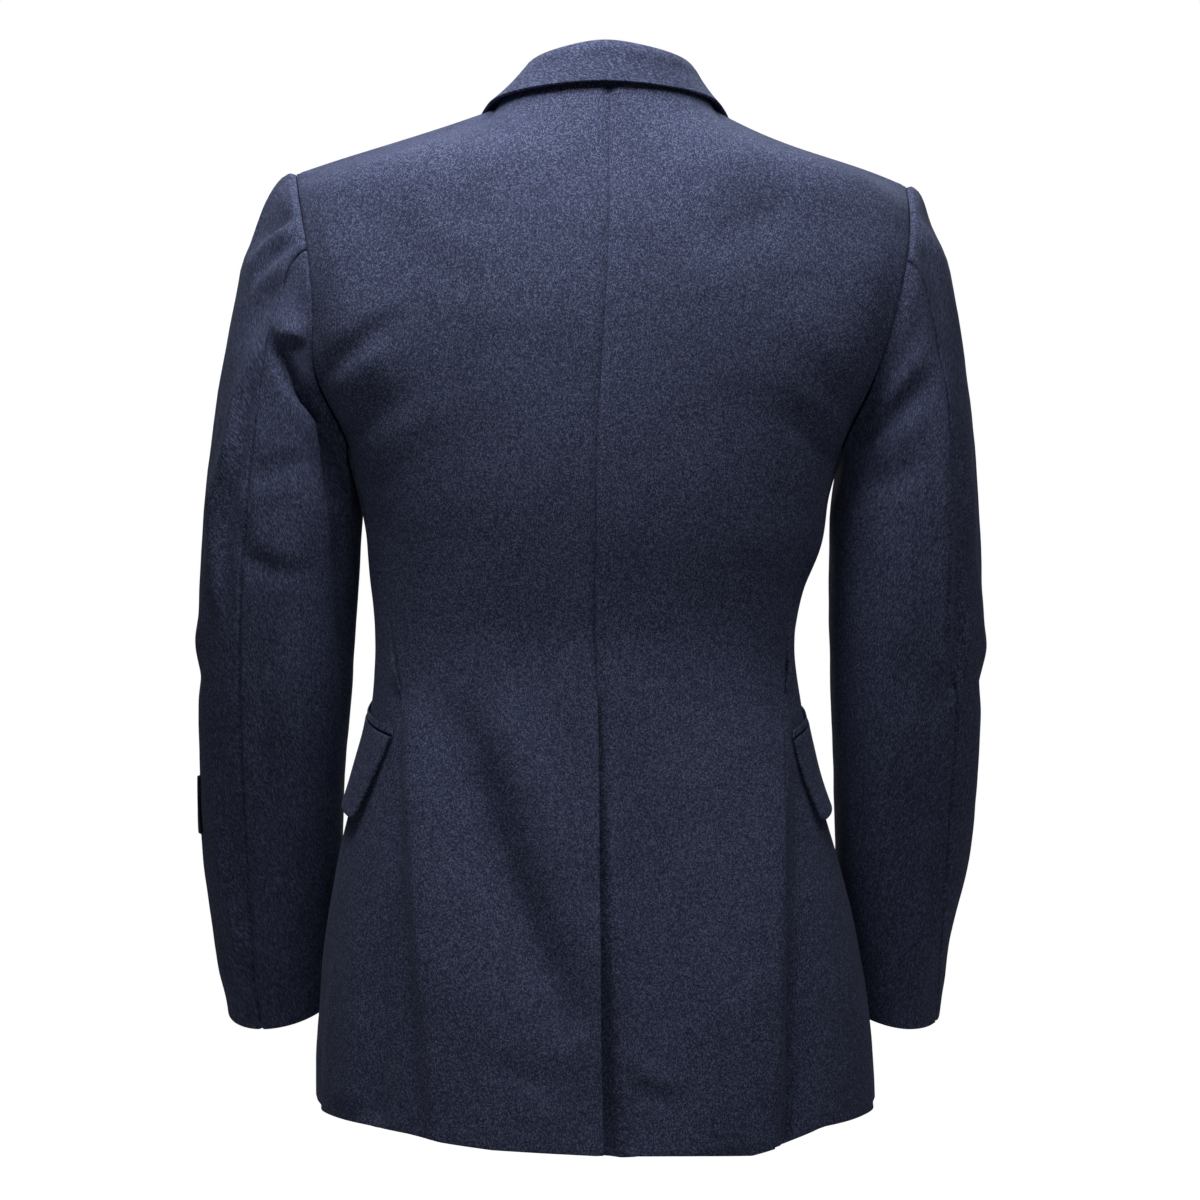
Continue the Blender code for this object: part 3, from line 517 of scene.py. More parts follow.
# Folds of the body and of the sleeves, by the side they are seen from: widths to each side of the
# line, then its points, each with the height of the fold there.
bodyFolds = {"back": (
    ((8, 34), ((135, -419, 0), (132, -463, 6), (128, -518, 10), (125, -573, 12), (120, -628, 12),
        (115, -683, 10), (112, -731, 8))),
    ((24, 17), ((114, -416, 0), (95, -466, -6), (83, -504, -10), (72, -539, -12), (59, -576, -12),
        (44, -611, -10), (28, -645, -5), (15, -674, 0))),
    ((20, 20), ((81, -416, 0), (54, -466, 3), (34, -525, 4.5), (19, -583, 4), (7, -628, 2))),
    ((7, 9), ((91, -674, 0), (73, -686, -1.2), (51, -693, -1.2), (29, -694, 0))),
    ((8, 10), ((70, -704, 0), (50, -714, 1.4), (28, -716, 1))),
    ((44, 8), ((-127, -428, 0), (-124, -477, 5), (-124, -539, 9), (-123, -601, 10), (-120, -663, 10),
        (-116, -731, 8))),
    ((30, 30), ((-61, -435, 0), (-67, -504, 3), (-73, -573, 4), (-78, -642, 4), (-81, -725, 3))),
    ((6, 12), ((-132, -477, 0), (-131, -539, -4), (-129, -601, -6), (-127, -669, -6),
        (-124, -731, -6))),
    ((10, 24), ((-7, -435, 0), (-15, -504, -4), (-22, -587, -6), (-25, -669, -6), (-25, -731, -5))),
    ((7, 7), ((-10, -674, 0), (-28, -687, 1.8), (-45, -696, 1.5), (-61, -700, 0))),
    ((7, 9), ((-12, -690, 0), (-30, -703, -1.3), (-48, -709, -1), (-67, -711, 0))),
    ((9, 9), ((167, -559, 0), (172, -628, 2.5), (177, -711, 4))),
    ((9, 9), ((152, -573, 0), (154, -649, -2.5), (158, -718, -4))),
    ((18, 42), ((190, -87, 1), (185, -129, 3), (180, -174, 5), (172, -211, 6), (160, -249, 6),
        (149, -291, 2))),
    ((42, 18), ((-194, -98, 1), (-187, -139, 3), (-176, -180, 5), (-161, -222, 6), (-149, -256, 5),
        (-140, -298, 2))),
    ((20, 9), ((193, -225, 2), (179, -215, 3.4), (161, -202, 2.6), (139, -187, 0))),
    ((10, 8), ((186, -253, -1), (171, -245, -1.4), (150, -231, -1), (130, -215, 0))),
    ((9, 14), ((197, -196, 1), (177, -182, 2.2), (157, -167, 1.8), (136, -151, 0))),
    ((9, 9), ((196, -209, -1), (177, -196, -2.2), (158, -183, -1.6), (138, -168, 0))),
    ((14, 12), ((149, -84, 0), (118, -103, 1.2), (91, -122, 1.4), (67, -138, 0))),
    ((14, 16), ((158, -113, 0), (125, -131, -1), (91, -149, -1), (70, -160, 0))),
    ((18, 14), ((172, -277, 0), (149, -256, 2), (122, -239, 1.8), (91, -227, 0))),
    ((9, 9), ((-169, -253, 2), (-156, -237, 3), (-136, -222, 1.5), (-119, -212, 0))),
    ((9, 8), ((-168, -271, -1.5), (-150, -256, -3), (-131, -245, -1.5), (-113, -238, 0))),
    ((16, 14), ((-179, -223, 0.5), (-163, -196, 2.2), (-140, -175, 2), (-116, -157, 0))),
    ((16, 18), ((-136, -94, 0), (-110, -106, -1.1), (-83, -114, -1), (-54, -121, 0))),
    ((16, 14), ((-140, -125, 0), (-113, -135, 0.9), (-83, -140, 0.9), (-56, -146, 0))),
    ((14, 14), ((-163, -298, 0), (-140, -288, 1.6), (-116, -282, 1.2), (-92, -280, 0))),
), "front": (
    ((26, 22), ((60, -330, 0), (80, -420, 2), (95, -520, 3.5), (105, -620, 4), (112, -730, 4))),
    ((22, 26), ((35, -430, 0), (45, -520, -2.5), (55, -620, -3.5), (60, -730, -3))),
    ((24, 24), ((-66, -340, 0), (-82, -430, 2.2), (-100, -540, 3.8), (-108, -640, 4),
        (-118, -735, 4.5))),
    ((20, 24), ((-38, -440, 0), (-50, -540, -2.6), (-58, -650, -3), (-62, -735, -3))),
    ((12, 14), ((10, -298, 1.2), (60, -270, 2.2), (120, -240, 2), (165, -225, 0))),
    ((14, 12), ((14, -318, -1), (70, -296, -2), (130, -272, -1.6), (170, -255, 0))),
    ((13, 13), ((-20, -312, 1), (-66, -286, 2), (-118, -258, 1.8), (-160, -240, 0))),
    ((13, 14), ((-24, -334, -1), (-72, -312, -1.8), (-124, -290, -1.4), (-158, -276, 0))),
    ((11, 12), ((36, -388, -0.6), (84, -392, -1.8), (128, -396, -1.2), (150, -398, 0))),
    ((11, 12), ((-30, -392, -0.6), (-78, -398, -1.8), (-116, -404, -1.2), (-134, -408, 0))),
), "leftSide": (
    ((18, 18), ((-8, -540, 0), (-18, -640, 3), (-26, -722, 4))),
    ((14, 16), ((30, -560, 0), (28, -650, -2.4), (26, -722, -3))),
    ((12, 12), ((40, -300, 0), (12, -345, 1.8), (-20, -392, 1.4), (-40, -430, 0))),
), "rightSide": (
    ((18, 18), ((-14, -520, 0), (-24, -630, 2.8), (-34, -722, 4))),
    ((14, 16), ((24, -550, 0), (20, -650, -2.2), (18, -722, -3))),
    ((12, 12), ((36, -310, 0), (8, -352, 1.6), (-22, -396, 1.4), (-44, -436, 0))),
)}
sleeveFolds = {left: {"back": (
    ((5, 6), ((218, -100, 1), (229, -106, 3.6), (239, -113, 4.2), (248, -123, 3.6), (253, -135, 0.5))),
    ((16, 4), ((217, -92, -4), (226, -97, -7), (236, -104, -7), (245, -114, -5), (253, -127, 0))),
    ((5, 6), ((216, -111, -2), (227, -119, -3.6), (238, -129, -3.2), (248, -144, -0.5))),
    ((5, 7), ((216, -122, 1), (227, -131, 3), (238, -141, 3), (248, -154, 0))),
    ((7, 8), ((219, -138, -1), (233, -150, -2.8), (245, -167, -2.6), (253, -184, 0))),
    ((12, 3), ((206, -182, 5), (216, -182, 7), (224, -182, 6), (232, -185, 1))),
    ((3, 5), ((230, -185, -3), (226, -197, -9), (219, -210, -12), (212, -221, -13), (204, -229, -13),
        (196, -239, -13))),
    ((4, 12), ((197, -236, -4), (193, -256, -12), (190, -281, -12), (186, -316, -10), (184, -366, -7),
        (185, -438, -4), (187, -495, 0))),
    ((9, 5), ((243, -181, 0), (234, -199, 0.8), (227, -216, 1.2), (217, -231, 1.2), (206, -244, 1),
        (200, -259, 0))),
    ((7, 8), ((198, -266, 0), (214, -271, -2.2), (230, -274, -2.6), (243, -279, -1.6),
        (251, -285, 0))),
    ((7, 22), ((247, -318, 0), (237, -328, 1.8), (223, -334, 2), (206, -331, 0.5))),
    ((6, 7), ((260, -295, 0), (256, -316, -2), (250, -335, -2.4), (238, -345, -1.8), (220, -349, -0.8),
        (203, -345, 0))),
    ((14, 14), ((243, -359, 0), (227, -362, 1), (208, -358, 0))),
    ((6, 5), ((238, -177, 0), (246, -194, 3.6), (252, -212, 5), (258, -232, 5.4), (262, -256, 5.4),
        (268, -276, 5.4), (274, -295, 5.4), (276, -320, 4.6), (275, -352, 3), (271, -388, 0))),
    ((4, 5), ((244, -204, 0), (250, -225, -3.4), (254, -252, -4.2), (260, -279, -4.4),
        (266, -309, -4.4), (266, -352, -3), (264, -395, 0))),
    ((4, 4), ((254, -238, 0), (259, -256, 2.4), (263, -274, 2.8), (265, -289, 0))),
    ((6, 6), ((268, -218, 0), (276, -245, 2.2), (280, -281, 2.4), (282, -324, 0))),
    ((12, 10), ((223, -359, 0), (220, -424, 2.2), (218, -495, 2.6), (220, -566, 1.6), (223, -623, 0))),
    ((9, 10), ((238, -366, 0), (240, -438, -1.8), (238, -509, -2), (236, -581, 0))),
    ((5, 7), ((276, -466, 0), (271, -509, -2.4), (264, -559, -3), (258, -602, -2.2), (254, -652, 0))),
    ((6, 6), ((281, -509, 1), (274, -559, 3), (267, -602, 3.2), (261, -645, 2))),
), "front": (
    ((8, 10), ((190, -388, 0), (225, -400, -3.5), (262, -392, -2.5), (285, -376, 0))),
    ((9, 8), ((188, -408, 0), (228, -420, 3.2), (264, -410, 2.4), (288, -392, 0))),
    ((8, 9), ((192, -430, 0), (230, -441, -3), (262, -434, -2), (286, -420, 0))),
    ((10, 9), ((196, -452, 0), (232, -462, 2.4), (266, -452, 1.6), (286, -440, 0))),
    ((12, 12), ((214, -120, 0), (240, -180, 2.5), (256, -250, 2.6), (262, -320, 1))),
    ((12, 10), ((204, -160, 0), (222, -220, -2.6), (236, -280, -2.4), (240, -340, 0))),
    ((12, 12), ((236, -500, 0), (240, -570, 2), (236, -650, 1.6))),
), "leftSide": (
    ((15, 15), ((-50, -124, 0), (-10, -123, 2), (25, -127, 1.5), (48, -135, 0))),
    ((13, 11), ((-40, -150, 0), (-26, -220, 2.4), (-30, -300, 2.2), (-44, -370, 0))),
    ((11, 13), ((14, -170, 0), (20, -240, -2.2), (14, -320, -2), (0, -380, 0))),
    ((10, 10), ((30, -372, 0), (0, -392, 2), (-34, -404, 2.2), (-66, -398, 0))),
    ((10, 10), ((24, -402, 0), (-6, -420, -2), (-40, -432, -2.2), (-74, -428, 0))),
    ((12, 12), ((-30, -480, 0), (-50, -550, 1.8), (-76, -640, 1.6))),
)}, right: {"back": (
    ((6, 6), ((-221, -89, 0), (-231, -104, 2.6), (-240, -121, 3.2), (-246, -145, 2), (-250, -174, 0))),
    ((7, 6), ((-221, -108, -1), (-230, -125, -3), (-237, -152, -3.4), (-243, -188, -2.4),
        (-248, -224, 0))),
    ((7, 7), ((-218, -129, 0.5), (-214, -152, 2.8), (-208, -178, 3), (-201, -204, 1))),
    ((6, 8), ((-190, -238, 1), (-204, -221, 3.4), (-218, -204, 3.4), (-234, -185, 0))),
    ((8, 6), ((-187, -255, -3), (-203, -238, -4.2), (-218, -222, -3.4), (-234, -207, 0))),
    ((8, 9), ((-183, -274, 0.5), (-198, -258, 3), (-216, -245, 2.6), (-234, -235, 0))),
    ((9, 9), ((-180, -295, 0), (-197, -284, -2.4), (-217, -275, -2.4), (-237, -271, 0))),
    ((12, 12), ((-194, -309, 0), (-207, -338, 2.4), (-213, -381, 2.6), (-216, -438, 0))),
    ((5, 6), ((-248, -238, 0), (-252, -281, -2), (-253, -338, -3.4), (-253, -381, -4.6),
        (-251, -409, -4), (-247, -438, 0))),
    ((11, 3.6), ((-240, -188, 0), (-243, -224, 2), (-244, -281, 2.8), (-243, -338, 3), (-243, -381, 3),
        (-245, -409, 2), (-248, -438, 0))),
    ((3.2, 4), ((-262, -366, 0), (-261, -381, 2.6), (-258, -406, 3.4), (-253, -431, 3.4),
        (-248, -455, 0))),
    ((6, 6), ((-234, -395, 0), (-237, -431, -2.2), (-236, -473, 0))),
    ((14, 12), ((-190, -366, 0), (-193, -438, 2.2), (-200, -509, 2.8), (-208, -581, 2.2),
        (-213, -638, 0))),
    ((10, 10), ((-214, -481, 0), (-221, -545, -2), (-226, -595, -2.2), (-227, -645, 0))),
    ((6, 7), ((-230, -552, 0), (-231, -602, 2), (-230, -652, 2))),
), "front": (
    ((9, 9), ((-182, -380, 0), (-214, -392, -3.2), (-246, -386, -2.4), (-268, -370, 0))),
    ((9, 9), ((-180, -402, 0), (-216, -412, 3), (-248, -404, 2.2), (-270, -388, 0))),
    ((8, 10), ((-184, -424, 0), (-218, -436, -3.2), (-250, -428, -2), (-268, -414, 0))),
    ((10, 10), ((-188, -450, 0), (-220, -460, 2.2), (-250, -452, 1.6), (-264, -440, 0))),
    ((12, 12), ((-208, -130, 0), (-230, -190, 2.3), (-246, -260, 2.6), (-250, -330, 1))),
    ((11, 11), ((-196, -170, 0), (-212, -230, -2.6), (-224, -290, -2.2), (-226, -350, 0))),
    ((12, 12), ((-222, -510, 0), (-224, -580, 2), (-218, -650, 1.6))),
), "rightSide": (
    ((20, 20), ((-45, -95, -1), (-10, -93, -4), (20, -95, -4), (45, -103, -1))),
    ((12, 12), ((-44, -160, 0), (-30, -230, 2.4), (-34, -310, 2), (-48, -372, 0))),
    ((12, 12), ((12, -180, 0), (16, -250, -2.2), (10, -330, -1.8), (-4, -384, 0))),
    ((10, 10), ((26, -380, 0), (-4, -398, 2), (-38, -408, 2.2), (-68, -400, 0))),
    ((10, 10), ((20, -408, 0), (-10, -426, -2.2), (-42, -436, -2.2), (-76, -432, 0))),
    ((12, 12), ((-34, -490, 0), (-54, -560, 1.8), (-80, -644, 1.6))),
)}}


# The body and the sleeves as sheets, joined at the seams and folded.
backs, sides, fronts, sleeves = {}, {}, {}, {}
for side in (left, right):
    backs[side], sides[side], fronts[side] = backGrid(side), sideGrid(side), frontGrid(side)
    rows = len(sides[side])
    sides[side][:, 0], sides[side][:, -1] = backs[side][:rows, -1], fronts[side][:rows, -1]
backs[right][:, 0] = backs[left][:, 0]
for side in (left, right):
    grid, frontSeam = sleeveGrid(side, backs[side], sides[side], fronts[side])
    sleeves[side] = newSheet(grid, side == left)
    sleeves[side]["frontSeam"] = frontSeam
    closeAim(sleeves[side])
    backs[side] = newSheet(backs[side], side == left)
    sides[side] = newSheet(sides[side], side == left)
    fronts[side] = newSheet(fronts[side], side == right)


def joinAims():
    sameAim(backs[left]["outward"][:, 0], backs[right]["outward"][:, 0])
    for side in (left, right):
        rows = len(sides[side]["points"])
        sameAim(backs[side]["outward"][:rows, -1], sides[side]["outward"][:, 0])
        sameAim(fronts[side]["outward"][:rows, -1], sides[side]["outward"][:, -1])
        closeAim(sleeves[side])


joinAims()
for side in (left, right):
    for panels in (backs, fronts):
        free = freeOf(panels[side], True, True, cornerRow)
        panels[side] = folded(panels[side], bodyFolds, slack["body"], free)
    sides[side] = folded(sides[side], bodyFolds, slack["body"], freeOf(sides[side], top=True))
    free = freeOf({"points": sleeves[side]["points"][::-1]}, top=True)[::-1]   # row 0 is the armhole
    sleeves[side] = folded(sleeves[side], sleeveFolds[side], slack["sleeve"], free)
joinAims()
print("cloth folded")


# What lies on the cloth: flaps, welts, belt loops, the patch and the lapels.
def acrossAt(sheet, z):
    points, outward = sheet["points"], sheet["outward"]
    row = np.clip((points[..., 2] < z).sum(axis=0), 1, len(points) - 1)
    column = np.arange(points.shape[1])
    low, high = points[row - 1, column], points[row, column]
    share = ((z - low[:, 2]) / (high[:, 2] - low[:, 2]))[:, None]
    aim = outward[row - 1, column] * (1 - share) + outward[row, column] * share
    return low + (high - low) * share, aim


def laid(sheet, startColumn, z, reach, lift, flip):
    z, reach = np.broadcast_arrays(z, reach)
    points, outward = np.empty((*z.shape, 3)), np.empty((*z.shape, 3))
    for corner in np.ndindex(z.shape):
        line, aim = acrossAt(sheet, z[corner])
        lengths = runs(line[None], 1)[0]
        lengths -= lengths[startColumn]
        points[corner] = readAt(reach[corner], lengths, line)
        aimed = readAt(reach[corner], lengths, aim)
        outward[corner] = aimed / np.linalg.norm(aimed)
    made = {"points": points, "outward": outward, "flip": flip, "cut": flatCut(points),
            "uv": np.stack([reach, z], axis=-1)}
    return lifted(made, np.broadcast_to(lift, z.shape))


def beside(first, second, flip):
    return {"points": np.concatenate([first["points"], second["points"]], axis=1),
            "outward": np.concatenate([first["outward"], second["outward"]], axis=1), "flip": flip}


flap = {"top": {left: -463, right: -465}, "start": 9, "length": 160, "height": 60, "rise": 38,
        "skew": 31, "corner": 4, "cornerShare": 0.06, "clear": 1.3, "spring": 3.4, "curl": 1.4}
welt = {"height": 5, "gap": 1.5, "overhang": 2, "wall": 1.2, "rim": 0.4}
loop = {"top": -404, "height": 25, "width": 4, "wall": 1.2, "rim": 0.35, "spring": 2, "gap": 0.4}
patch = {"top": -495, "height": 42, "width": 40, "clear": 0.8, "wall": 1.2, "rim": 0.4}
lapel = {"from": {left: 9.5, right: 10.5}, "to": 14.5, "foot": 6, "width": 74, "widen": 0.8,
         "lift": 3.2, "roll": 2.2, "rollAt": 6, "rollWidth": 7, "edge": 2.0, "edgeWidth": 1.2}


def evenly(start, end, count, downward=False):
    found = np.linspace(start, end, count)
    return found[:, None] if downward else found[None]


def flapSheet(side, around):
    down, far = evenly(0, 1, 15, True), evenly(0, 1, 40)
    nearEnd = np.clip(1 - np.minimum(far, 1 - far) / flap["cornerShare"], 0, 1)
    z = flap["top"][side] + flap["rise"] * far - (flap["height"] - flap["corner"] * nearEnd ** 2) * down
    reach = flap["start"] + flap["skew"] * down + flap["length"] * far
    lift = flap["clear"] + cloth["wall"] + flap["spring"] * down ** flap["curl"]
    return laid(around, 0, z, reach, lift, side == right)


def weltSheet(side, around):
    down, far = evenly(0, 1, 4, True), evenly(0, 1, 40)
    reach = flap["start"] + welt["overhang"] * (2 * far - 1) + flap["length"] * far
    z = flap["top"][side] + flap["rise"] * far + welt["gap"] + welt["height"] * (1 - down)
    return laid(around, 0, z, reach, flap["clear"] + welt["wall"], side == right)


def loopSheet(side, around, column):
    down, far = evenly(0, 1, 17, True), evenly(-0.5, 0.5, 4)
    z, reach = loop["top"] - loop["height"] * down, loop["width"] * far
    lift = loop["gap"] + loop["wall"] + loop["spring"] * np.sin(np.pi * down)
    return laid(around, column, z, reach, lift, side == right)


def patchSheet(sleeve):
    upward = {key: sleeve[key][::-1] for key in ("points", "outward")}
    outermost = int(np.argmax(sleeve["points"][0, :, 2]))
    down, far = evenly(0, 1, 15, True), evenly(-0.5, 0.5, 15)
    return laid(upward, outermost, patch["top"] - patch["height"] * down, patch["width"] * far,
                patch["clear"] + patch["wall"], True)


def lapelSheet(front, side):
    rows = np.nonzero((rowPlaces >= lapel["from"][side]) & (rowPlaces <= lapel["to"]))[0]
    points, outward, uv = [], [], []
    far = np.concatenate([[0, 0.01, 0.03, 0.055], np.linspace(0.1, 1, 18)])   # finer beside the roll
    for row in rows:
        line = front["points"][row]
        lengths = runs(line[None], 1)[0]
        share = (rowPlaces[row] - rowPlaces[rows[0]]) / (rowPlaces[rows[-1]] - rowPlaces[rows[0]])
        reaches = (lapel["foot"] + (lapel["width"] - lapel["foot"]) * share ** lapel["widen"]) * far
        lift = lapel["lift"] - lapel["edge"] * np.exp(-reaches / lapel["edgeWidth"])
        lift += lapel["roll"] * np.exp(-((reaches - lapel["rollAt"]) / lapel["rollWidth"]) ** 2)
        aims = readAt(reaches, lengths, front["outward"][row])
        points.append(readAt(reaches, lengths, line) + aims * lift[:, None])
        outward.append(aims)
        uv.append(np.stack([reaches, 0 * reaches + front["uv"][row, 0, 1]], axis=-1))
    points = np.array(points)
    return {"points": points, "outward": np.array(outward), "uv": np.array(uv),
            "flip": side == right, "cut": flatCut(points)}


# The collar, one folded strip: half of its sections from the nape to the front end. Each row: the
# neck seam, then out and up from it to the fold and to the leaf's edge.
collar = {
    "rows": ((0, 64, 0, -3, 24.6, 5.4, -4), (38.5, 54.6, -1.1, -6, 21.5, 5.8, -5),
             (66.7, 29, -4.4, -12.5, 20.5, 6.4, -5), (77, -6, -10, -18, 21, 8, -3),
             (71, -25, -21, -14, 16, 22, -1), (64, -44, -32, -6, 8, 36, -10)),
    "gaps": (24, 24, 37, 37, 40, 40, 37, 37, 24, 24), "foot": (-2.3, 0.6), "foldRadius": 2.6,
    "foldSpread": {left: -5.5, right: 3}, "bow": -0.8, "bowAt": (0.35, 0.7), "cells": 56,
}


def collarLine(row, side):
    x, y, z, foldOut, foldUp, edgeOut, edgeUp = row
    away = np.array((side * x, y - neck["sideY"], 0), float)
    seat = np.array((side * x + neck["shift"], y, z), float)
    away /= np.linalg.norm(away)
    radius = collar["foldRadius"]
    foldOut += collar["foldSpread"][side] * x / neck["half"]
    foot, fold, edge = (np.array(key) for key in (collar["foot"], (foldOut, foldUp), (edgeOut, edgeUp)))
    inside, outside = fold - radius, fold + (radius, -radius)
    bowed = [outside + (edge - outside) * share + (0, collar["bow"]) for share in collar["bowAt"]]
    keys = np.array([foot, (foot + inside) / 2, inside, fold, outside, *bowed, edge])
    smooth = loft(keys[:, None], np.linspace(0, len(keys) - 1, collar["cells"] + 1))[:, 0]
    return [seat + away * out + np.array((0, 0, up)) for out, up in smooth]


def collarSheet():
    rows = [collarLine(row, right) for row in collar["rows"][:0:-1]]
    rows += [collarLine(row, left) for row in collar["rows"]]
    return newSheet(loft(rows, finePlaces(collar["gaps"])), False)


# Finishes. Fleck and weave are to the metre.
wool = {
    "base": (0.060, 0.071, 0.138), "pale": (0.205, 0.235, 0.385), "deep": (0.014, 0.017, 0.036),
    "fleck": 1450.0, "streak": 0.75, "weave": 1500.0, "bump": 0.35, "roughness": 0.92,
    "sheen": 0.10, "sheenTint": (0.55, 0.65, 0.90), "sheenRoughness": 0.5,
}
bareWool = {**wool, "base": (0.010, 0.012, 0.022), "pale": (0.030, 0.034, 0.055),
            "deep": (0.004, 0.005, 0.010), "sheen": 0.15}
gilt = {"colour": (0.60, 0.42, 0.16), "worn": (0.42, 0.29, 0.11), "roughness": 0.18,
        "rougher": 0.25, "grain": 900.0}


def newGroup(name, inputs, outputs):
    group = bpy.data.node_groups.new(name, "ShaderNodeTree")
    for label, kind, value in inputs:
        socket = group.interface.new_socket(name=label, in_out="INPUT", socket_type=kind)
        if value is not None:
            socket.default_value = value
    for label, kind in outputs:
        group.interface.new_socket(name=label, in_out="OUTPUT", socket_type=kind)
    return group, group.nodes.new("NodeGroupInput"), group.nodes.new("NodeGroupOutput")


def node(tree, kind, **settings):
    made = tree.nodes.new(kind)
    for key, value in settings.items():
        setattr(made, key, value)
    return made


def math2(tree, operation, first, second):
    made = node(tree, "ShaderNodeMath", operation=operation)
    for socket, value in zip(made.inputs, (first, second)):
        if isinstance(value, (int, float)):
            socket.default_value = value
        else:
            tree.links.new(value, socket)
    return made.outputs[0]


def noiseAt(tree, vector, scale, detail, rough=0.5):
    made = node(tree, "ShaderNodeTexNoise")
    tree.links.new(vector, made.inputs["Vector"])
    if isinstance(scale, (int, float)):
        made.inputs["Scale"].default_value = scale
    else:
        tree.links.new(scale, made.inputs["Scale"])
    made.inputs["Detail"].default_value = detail
    made.inputs["Roughness"].default_value = rough
    return made.outputs["Fac"]


def spreadOut(tree, value, low, high):
    made = node(tree, "ShaderNodeMapRange")
    tree.links.new(value, made.inputs["Value"])
    made.inputs["From Min"].default_value, made.inputs["From Max"].default_value = low, high
    return made.outputs["Result"]


def melangeGroup():
    group, start, end = newGroup("melange", [
        ("Cloth", "NodeSocketVector", None), ("Fleck", "NodeSocketFloat", wool["fleck"]),
        ("Streak", "NodeSocketFloat", wool["streak"]), ("Weave", "NodeSocketFloat", wool["weave"])],
        [("Pale", "NodeSocketFloat"), ("Deep", "NodeSocketFloat"), ("Height", "NodeSocketFloat"),
         ("Uneven", "NodeSocketFloat")])
    # each yarn shows as one short fleck, a little longer along the cloth than across it
    join = node(group, "ShaderNodeCombineXYZ")
    join.inputs[2].default_value = 1.0
    group.links.new(start.outputs["Fleck"], join.inputs[0])
    along = math2(group, "MULTIPLY", start.outputs["Fleck"], start.outputs["Streak"])
    group.links.new(along, join.inputs[1])
    long = node(group, "ShaderNodeVectorMath", operation="MULTIPLY")
    group.links.new(start.outputs["Cloth"], long.inputs[0])
    group.links.new(join.outputs[0], long.inputs[1])
    fibres = noiseAt(group, long.outputs[0], 0.9, 2.0, 0.6)
    slub = node(group, "ShaderNodeTexNoise")
    group.links.new(long.outputs[0], slub.inputs["Vector"])
    slub.inputs["Scale"].default_value = 0.6
    uneven = node(group, "ShaderNodeVectorMath", operation="MULTIPLY_ADD")
    group.links.new(slub.outputs["Color"], uneven.inputs[0])
    uneven.inputs[1].default_value = (1.6, 1.6, 0.0)
    group.links.new(long.outputs[0], uneven.inputs[2])
    cell = node(group, "ShaderNodeVectorMath", operation="FLOOR")
    group.links.new(uneven.outputs[0], cell.inputs[0])
    yarn = node(group, "ShaderNodeTexWhiteNoise")
    group.links.new(cell.outputs[0], yarn.inputs["Vector"])
    both = math2(group, "ADD", math2(group, "MULTIPLY", fibres, 0.5),
                 math2(group, "MULTIPLY", yarn.outputs["Value"], 0.5))
    group.links.new(spreadOut(group, both, 0.55, 0.85), end.inputs["Pale"])
    group.links.new(spreadOut(group, both, 0.45, 0.18), end.inputs["Deep"])
    twill = node(group, "ShaderNodeTexWave", bands_direction="DIAGONAL")
    group.links.new(start.outputs["Cloth"], twill.inputs["Vector"])
    twill.inputs["Distortion"].default_value = 2.5
    twill.inputs["Detail"].default_value = 1.0
    group.links.new(math2(group, "MULTIPLY", start.outputs["Weave"], 0.16), twill.inputs["Scale"])
    height = math2(group, "ADD", math2(group, "MULTIPLY", fibres, 0.8),
                   math2(group, "MULTIPLY", twill.outputs["Fac"], 0.2))
    group.links.new(height, end.inputs["Height"])
    wide = noiseAt(group, start.outputs["Cloth"], 22.0, 3.0)
    group.links.new(wide, end.inputs["Uneven"])
    return group


melange = melangeGroup()


def mixed(tree, factor, first, second):
    made = node(tree, "ShaderNodeMix", data_type="RGBA")
    tree.links.new(factor, made.inputs["Factor"])
    for socket, value in ((made.inputs[6], first), (made.inputs[7], second)):
        if isinstance(value, tuple):
            socket.default_value = (*value, 1.0)
        else:
            tree.links.new(value, socket)
    return made.outputs[2]


def newMaterial(name):
    material = bpy.data.materials.new(name)
    material.use_nodes = True
    return material, material.node_tree, material.node_tree.nodes["Principled BSDF"]


def woolMaterial(name, settings):
    material, tree, shader = newMaterial(name)
    place = node(tree, "ShaderNodeUVMap", uv_map="cloth")
    weave = node(tree, "ShaderNodeGroup", node_tree=melange)
    tree.links.new(place.outputs[0], weave.inputs["Cloth"])
    for label, key in (("Fleck", "fleck"), ("Streak", "streak"), ("Weave", "weave")):
        weave.inputs[label].default_value = settings[key]
    dark = mixed(tree, weave.outputs["Deep"], settings["base"], settings["deep"])
    flecked = mixed(tree, weave.outputs["Pale"], dark, settings["pale"])
    shade = spreadOut(tree, weave.outputs["Uneven"], 0.2, 0.8)
    soft = node(tree, "ShaderNodeHueSaturation")
    tree.links.new(flecked, soft.inputs["Color"])
    tree.links.new(math2(tree, "ADD", math2(tree, "MULTIPLY", shade, 0.22), 0.89), soft.inputs["Value"])
    tree.links.new(soft.outputs[0], shader.inputs["Base Color"])
    bump = node(tree, "ShaderNodeBump")
    bump.inputs["Strength"].default_value = settings["bump"]
    bump.inputs["Distance"].default_value = 0.0006
    tree.links.new(weave.outputs["Height"], bump.inputs["Height"])
    tree.links.new(bump.outputs[0], shader.inputs["Normal"])
    shader.inputs["Roughness"].default_value = settings["roughness"]
    shader.inputs["Specular IOR Level"].default_value = 0.15
    shader.inputs["Sheen Weight"].default_value = settings["sheen"]
    shader.inputs["Sheen Tint"].default_value = (*settings["sheenTint"], 1.0)
    shader.inputs["Sheen Roughness"].default_value = settings["sheenRoughness"]
    return material


